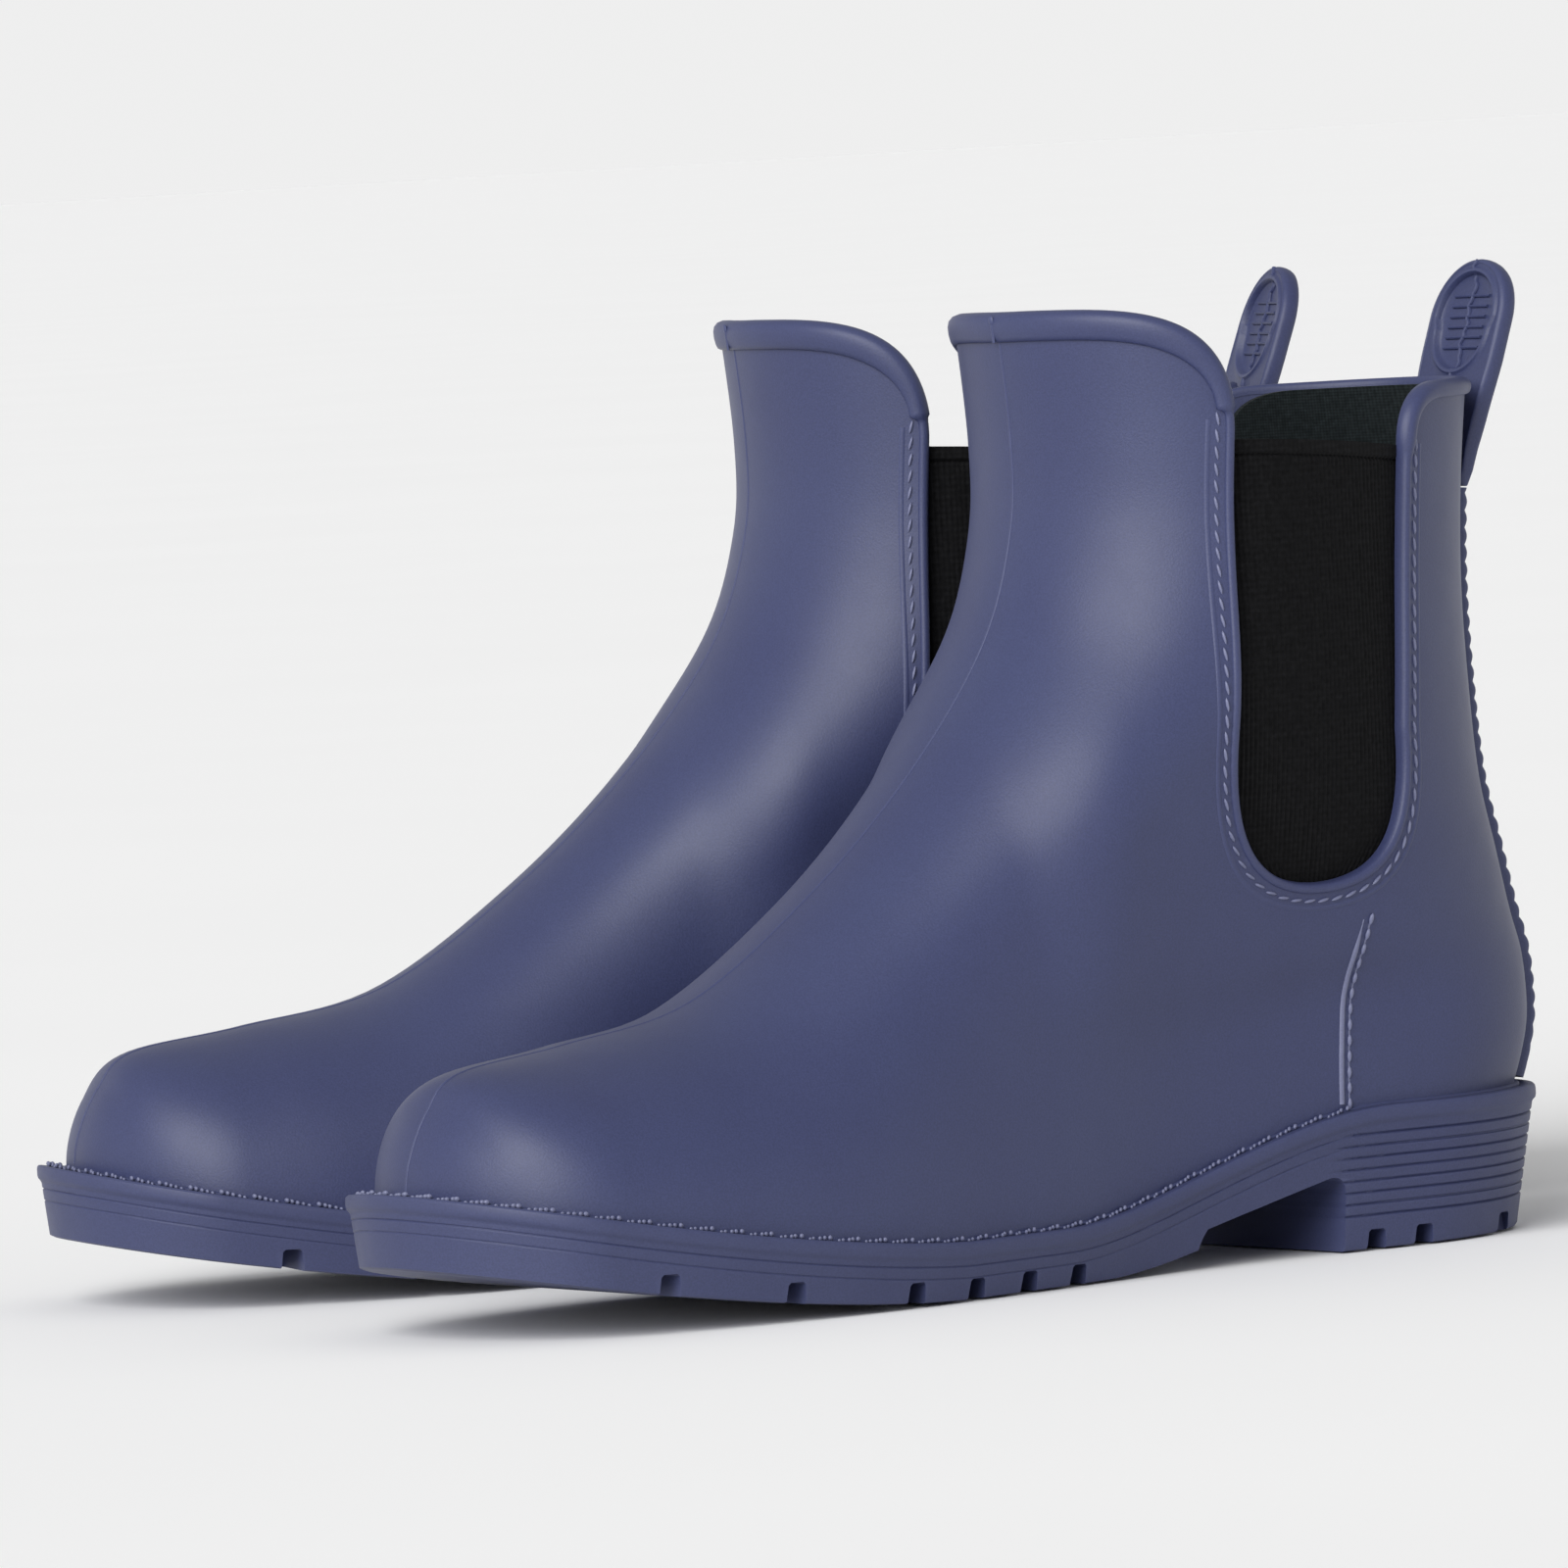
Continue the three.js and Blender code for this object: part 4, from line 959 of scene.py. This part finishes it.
# ------------------------------------------------------------------ gores, lining, footbed
def gore_places(shares, columns):
    """Side-view places of the panel: shares run down from the hem, columns from rear to front."""
    lap = GORE["lap"]
    foot = GORE["bottom"] - lap + 0.02
    u_line = gore_u(lap, 40)
    half = len(u_line) // 2
    ends = []
    for front, top, bend in ((False, GORE["top_rear"], u_line[:half - 1:-1]),
                             (True, GORE["top_front"], u_line[:half + 1])):
        straight = np.array([(edge_p(z, front, lap), z) for z in np.linspace(top, GORE["low"], 20)])
        line = np.concatenate([straight[:-1], bend])
        z = lerp(top, foot, shares)
        ends.append((np.interp(-z, -line[:, 1], line[:, 0])[:, None], z[:, None]))
    across = np.linspace(0, 1, columns)[None]
    arch = GORE["arch"] * np.sin(math.pi * across) * (1 - shares[:, None]) ** 2
    (rear_p, rear_z), (front_p, front_z) = ends
    return lerp(rear_p, front_p, across), lerp(rear_z, front_z, across) + arch


def gore_panel(side):
    """Ribbed elastic behind the window, with a hem along its top."""
    columns, rows, hem = 190, 64, GORE["hem"]
    shares = np.concatenate([np.linspace(0, 0.05, 20)[:-1], np.linspace(0.05, 1, rows - 19)])
    p, z = gore_places(shares, columns)
    u, turn = from_side(p, z, side)
    base, normal = skin(u, turn), skin_normal(u, turn)
    down = z[:1] - z
    from_seam = (hem + HEM["seam_drop"] - down) / HEM["seam_width"]
    seam = HEM["seam_depth"] * np.exp(-from_seam ** 2)
    ribs = HEM["rib_depth"] * np.cos(2 * math.pi * p / GORE["rib"]) * smooth(down, hem, hem + 1)
    proud = HEM["proud"] * smooth(down, hem + HEM["edge"], hem) - seam + ribs
    outer = base - normal * (GORE["depth"] - proud)[..., None]
    inner = base - normal * (GORE["depth"] + GORE["thickness"])
    rings = np.concatenate([outer, inner[:, ::-1]], 1)
    n = rings.shape[1]
    caps = ladder_cap(0, columns, n, False) + ladder_cap((rows - 1) * n, columns, n, True)
    return loft(rings, False, caps)


def ladder_cap(base, columns, n, flip):
    """Quads between the outer and inner half of one ring of n points."""
    faces = [(base + c, base + c + 1, base + n - 2 - c, base + n - 1 - c) for c in range(columns - 1)]
    return faces if flip else [f[::-1] for f in faces]


def foot_outline(depth, count):
    """Plan outline inside the upper at the seat, as x and p."""
    turn = np.linspace(0, 2 * math.pi, count, endpoint=False)
    u = np.full(count, 0.25)
    normal = skin_normal(u, turn)
    normal[:, 2] = 0
    inside = skin(u, turn) - unit(normal) * depth
    return inside[:, 0], -inside[:, 1]


def footbed():
    """Moulded insole with a soft crowned edge and a shallow heel cup."""
    count = 160
    x, p = foot_outline(BED["depth"], count)
    share_along = (p - p.min()) / (p.max() - p.min())
    middle_p = lerp(p.min() + BED["spine_heel"], p.max() - BED["spine_toe"], share_along)
    rows = []
    for share, height in BED_ROWS:
        row_x, row_p = x * (1 - share), lerp(p, middle_p, share)
        from_cup = (row_p - BED["cup_place"]) / BED["cup_length"]
        cup = BED["cup"] * np.exp(-from_cup ** 2) * smooth(share, 0.1, 0.5)
        rows.append(np.stack([row_x, -row_p, seat(row_p) + height - cup], 1))
    rings = np.array(rows)
    caps = []
    for base in (0, (len(rows) - 1) * count):
        quads = [(base + k, base + k + 1, base + count - k - 1, base + (count - k) % count)
                 for k in range(count // 2)]
        quads = [q for q in (tuple(dict.fromkeys(q)) for q in quads) if len(q) > 2]
        caps += [q[::-1] for q in quads] if base == 0 else quads
    return loft(rings, False, caps)


# ------------------------------------------------------------------ sole
SOLE_COLUMNS = 420


def sole_ring(inset_heel, inset_toe, heights, heel_shift=0.0, toe_shift=0.0, extra=None):
    """Ring of plan points; heights gives z from p, extra adds to the inset point by point."""
    turn = math.pi * (np.arange(SOLE_COLUMNS) + 0.5) / (SOLE_COLUMNS / 2)
    lateral = turn < math.pi
    heel, toe = SOLE["heel"] + heel_shift, SOLE["toe"] - toe_shift
    p = lerp(heel, toe, (1 - np.cos(turn)) / 2)
    body = np.where(lateral, curve_at(LATERAL, p), curve_at(MEDIAL, p))
    half = body - lerp(inset_heel, inset_toe, (p - heel) / (toe - heel))
    half = half * end_round(p - heel, HEEL_RUN) * end_round(toe - p, TOE_RUN)
    z = heights(p)
    ring = np.stack([np.where(lateral, half, -half), -p, z], 1)
    if extra is None:
        return ring
    tangent = unit((np.roll(ring, -1, 0) - np.roll(ring, 1, 0)) * (1, 1, 0))
    inward = np.stack([-tangent[:, 1], tangent[:, 0], np.zeros(len(p))], 1)
    if np.sum(inward[:, :2] * (ring[:, :2] - (0, -PAIR["middle"]))) > 0:
        inward = -inward
    return ring + inward * extra(p, z)[:, None]


def wall_lines(p, z):
    """Depth of the fine lines cut into the sole's wall."""
    below = seat(p) - z
    behind = 1 - smooth(p, *SOLE_LINES["heel_end"])
    heel = np.zeros(len(p))
    for k in range(SOLE_LINES["heel_count"]):
        level = SOLE_LINES["heel_top"] - SOLE_LINES["heel_pitch"] * k
        heel += SOLE_LINES["heel_depth"] * np.exp(-((z - level) / SOLE_LINES["heel_width"]) ** 2)
    fore = sum(depth * np.exp(-((below - level) / SOLE_LINES["fore_width"]) ** 2)
               for level, depth in SOLE_LINES["fore"])
    return heel * behind * smooth(below, *SOLE_LINES["under_lip"]) + fore * (1 - behind)


def sole_rings():
    """Rings from the tread's edge up the wall, over the lip and in along the ledge."""
    heel, toe, step = SOLE["taper_heel"], SOLE["taper_toe"], SOLE["lip_step"]
    rings = [sole_ring(heel + round_in, toe + round_in, lambda p, up=up: ground_line(p) + up,
                       heel + round_in, toe + round_in) for round_in, up in ((0.9, 0), (0.25, 0.2))]
    for share in np.linspace(0.03, 1, 120):
        inset_h, inset_t = lerp(heel, step, share), lerp(toe, step, share)

        def level(p, k=share):
            return lerp(ground_line(p), seat(p) - SOLE["lip"] - 0.35, k)
        rings.append(sole_ring(inset_h, inset_t, level, inset_h, inset_t, wall_lines))
    for inset, below in LIP_PROFILE:
        rings.append(sole_ring(inset, inset, lambda p, b=below: seat(p) + 0.3 - b, inset, inset))
    return np.array(rings)


def outsole():
    """Lofted sole with the arch and the lug notches cut out."""
    rings = sole_rings()
    rows, columns = rings.shape[:2]
    flat = rings.reshape(-1, 3)
    tread, tread_faces = ladder(rings[0], 14, 0, len(flat), True)
    flat = np.concatenate([flat, tread])
    ledge, ledge_faces = ladder(rings[-1], 2, (rows - 1) * columns, len(flat), False)
    flat = np.concatenate([flat, ledge])
    faces = grid_faces(rows, columns, False, True) + tread_faces + ledge_faces
    body = as_object("sole_body", flat, facing_out(flat, faces))
    cutters = [prism(arch_outline(), -70, 70)]
    for lug in (LUG, HEEL_LUG):
        cutters += [lug_cutter(place, lug, side) for place in lug["places"] for side in (1, -1)]
    cut(body, as_object("cutter", *joined(cutters)))
    body.data.shade_smooth()
    body.data.set_sharp_from_angle(angle=math.radians(38))
    return body


def ladder(ring, columns, base, next_index, flip):
    """Fills a ring whose halves face each other with rows of quads across."""
    n = len(ring)
    half = n // 2
    points, faces, rows = [], [], []
    for k in range(half):
        other = n - 1 - k
        row = [base + k]
        for c in range(1, columns if 0 < k < half - 1 else 1):
            points.append(lerp(ring[k], ring[other], c / columns))
            row.append(next_index + len(points) - 1)
        rows.append(row + [base + other])
    for a, b in zip(rows, rows[1:]):
        if len(a) == len(b):
            made = [(a[c], a[c + 1], b[c + 1], b[c]) for c in range(columns)]
        else:
            made = [tuple(a + b[::-1])]
        faces += made if flip else [f[::-1] for f in made]
    return np.array(points), faces


def arch_outline():
    """Closed side-view outline of the hollow between the heel block and the forepart."""
    front, rise, breast = ARCH["front"], ARCH["rise"], ARCH["breast"]
    swept = bezier([(front + ARCH["taper"], -0.02), (front + ARCH["taper"] / 2, 0), (front, rise)], 12)
    bend, rise_bend = ARCH["step_bend"]
    step_top = (front - ARCH["step_run"], rise + ARCH["step"])
    shank_top = (breast + ARCH["corner"], ARCH["top"])
    step = bezier([(front, rise), (front - bend, rise + rise_bend), step_top], 6)[1:]
    shank = bezier([step_top, ARCH["shank_bend"], shank_top], 12)[1:]
    corner = bezier([shank_top, (breast, ARCH["top"] + 0.5),
                     (breast, ARCH["top"] - ARCH["corner"])], 9)[1:]
    return np.concatenate([swept, step, shank, corner, [(breast, -3), (front + ARCH["taper"], -3)]])


def lug_cutter(place, lug, side):
    """Trapezoid notch that narrows upward and inward."""
    edge = float(curve_at(LATERAL if side > 0 else MEDIAL, np.array(float(place)))) - SOLE["taper_heel"]
    ground = float(ground_line(np.array(float(place))))
    inner, outer = edge - lug["depth"], edge + 10
    wide, narrow = lug["width"] / 2 + 0.25, lug["width"] / 2 - 0.3
    top = ground + lug["height"]
    right = [(wide, ground - 2), (narrow, top - 0.5), (narrow - 0.5, top)]
    outline = [(place - wide, ground - 2)] + [(place + a, z) for a, z in right]
    outline += [(place - a, z) for a, z in right[:0:-1]]
    return prism(outline, *sorted((side * inner, side * outer)))


def welt():
    """Narrow channel between the sole's lip and the upper."""
    rings = [sole_ring(inset, inset, lambda p, h=height: seat(p) + 0.3 + h - 0.6, inset, inset)
             for inset, height in WELT_PROFILE]
    return loft(np.array(rings), True)


def welt_stitches():
    """Clusters of small beads in the channel, from side seam to side seam round the toe."""
    inset, seam = CHANNEL["inset"], CHANNEL["seam"]
    ring = sole_ring(inset, inset, lambda p: seat(p) + CHANNEL["height"], inset, inset)
    p = -ring[:, 1]
    start = int(np.argmax((p > seam) & (ring[:, 0] > 0)))
    stop = len(ring) - int(np.argmax((p[::-1] > seam) & (ring[::-1, 0] < 0)))
    line = ring[start:stop]
    at = spaced(line, WELT_BEADS["pitch"])
    centres = np.stack([np.interp(at, np.arange(len(line)), line[:, k]) for k in range(3)], 1)
    tangents = unit(np.gradient(centres, axis=0))
    up = np.repeat([[0.0, 0.0, 1.0]], len(centres), 0)
    sides = unit(np.cross(up, tangents))
    rng = np.random.default_rng(3)
    parts = []
    for k in range(WELT_BEADS["count"]):
        along = WELT_BEADS["spacing"] * (k - (WELT_BEADS["count"] - 1) / 2)
        jitter = rng.uniform(-CHANNEL["jitter"], CHANNEL["jitter"], (len(centres), 2))
        across, rise = CHANNEL["zigzag"] * (-1) ** k, CHANNEL["rise"] * (2 - k) / 2
        places = centres + tangents * (along + jitter[:, :1])
        places = places + sides * (across + jitter[:, 1:]) + up * rise
        size = WELT_BEADS["size"] * (1 - CHANNEL["shrink"] * k)
        slanted = unit(tangents + sides * CHANNEL["slant"])
        parts.append(beads(places, slanted, up, (size * 1.2, size * 0.75, size)))
    return joined(parts)


# ------------------------------------------------------------------ assembly
def add_piece(name, made, slot, body, nodes, smooth_angle=35):
    """Adds a piece, given as an object or as points and faces, to both boots, mirrored on the right."""
    if isinstance(made, bpy.types.Object):
        flat = np.array([v.co for v in made.data.vertices])
        faces = [tuple(f.vertices) for f in made.data.polygons]
        bpy.data.objects.remove(made)
    else:
        flat, faces = made
    pieces = []
    for prefix, side in (("left", 1), ("right", -1)):
        order = faces if side > 0 else [f[::-1] for f in faces]
        piece = as_object(f"{prefix}_{name}", to_frame(flat, side), order, smooth_angle)
        piece.data.materials.append(MATERIALS[slot])
        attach(piece, f"{prefix}_{body}")
        if nodes:
            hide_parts(*[f"{prefix}_{node}" for node in nodes])
        pieces.append(piece)
    return pieces


make_camera()
make_world()
make_key_light()
make_floor()

add_piece("shell_skin", cut_wall("shell", 0, UPPER["wall"], 0, 0), "shell", "boot", ["upper_shell"])
add_piece("rim_edge", rim_edge(), "shell", "boot", [], 60)
add_piece("parting_line", parting_line(), "shell", "boot", [], 60)
# The moulded side seam takes the paler stitch material, a painted highlight on its ridge and dashes.
add_piece("side_seam", side_seam(), "thread", "boot", [], 60)
add_piece("heel_stay", back_stay(), "shell", "boot", ["back_stay"], 60)
add_piece("strap", pull_tab(), "shell", "tab", ["pull_tab"], 38)
add_piece("tread_sole", outsole(), "sole", "boot", ["outsole"])
add_piece("welt_channel", welt(), "sole", "boot", ["welt"])
# The moulded welt stitches take the paler stitch material, a painted highlight.
add_piece("welt_stitches", welt_stitches(), "thread", "boot", [], 60)
for where, side in (("lateral", 1), ("medial", -1)):
    for panel in add_piece(f"elastic_{where}", gore_panel(side), "elastic", "boot", [f"gore_{where}"], 60):
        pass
    thread = [f"gore_thread_{where}"]
    add_piece(f"stitches_{where}", gore_stitches(side), "thread", "boot", thread, 60)
    add_piece(f"groove_{where}", gore_groove(side), "shell", "boot", [], 60)
lining = cut_wall("lining", LINING["depth"], LINING["depth"] + LINING["thickness"], LINING["grow"],
                  LINING["drop"])
for cloth in add_piece("textile_lining", lining, "lining", "boot", ["lining"]):
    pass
for bed in add_piece("insole", footbed(), "foam", "boot", ["footbed"], 50):
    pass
for prefix in ("left", "right"):
    for node in ("insole_board", "heel_filler"):
        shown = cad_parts[f"{prefix}_{node}"]
        shown.data.materials.clear()
        shown.data.materials.append(MATERIALS["board"])
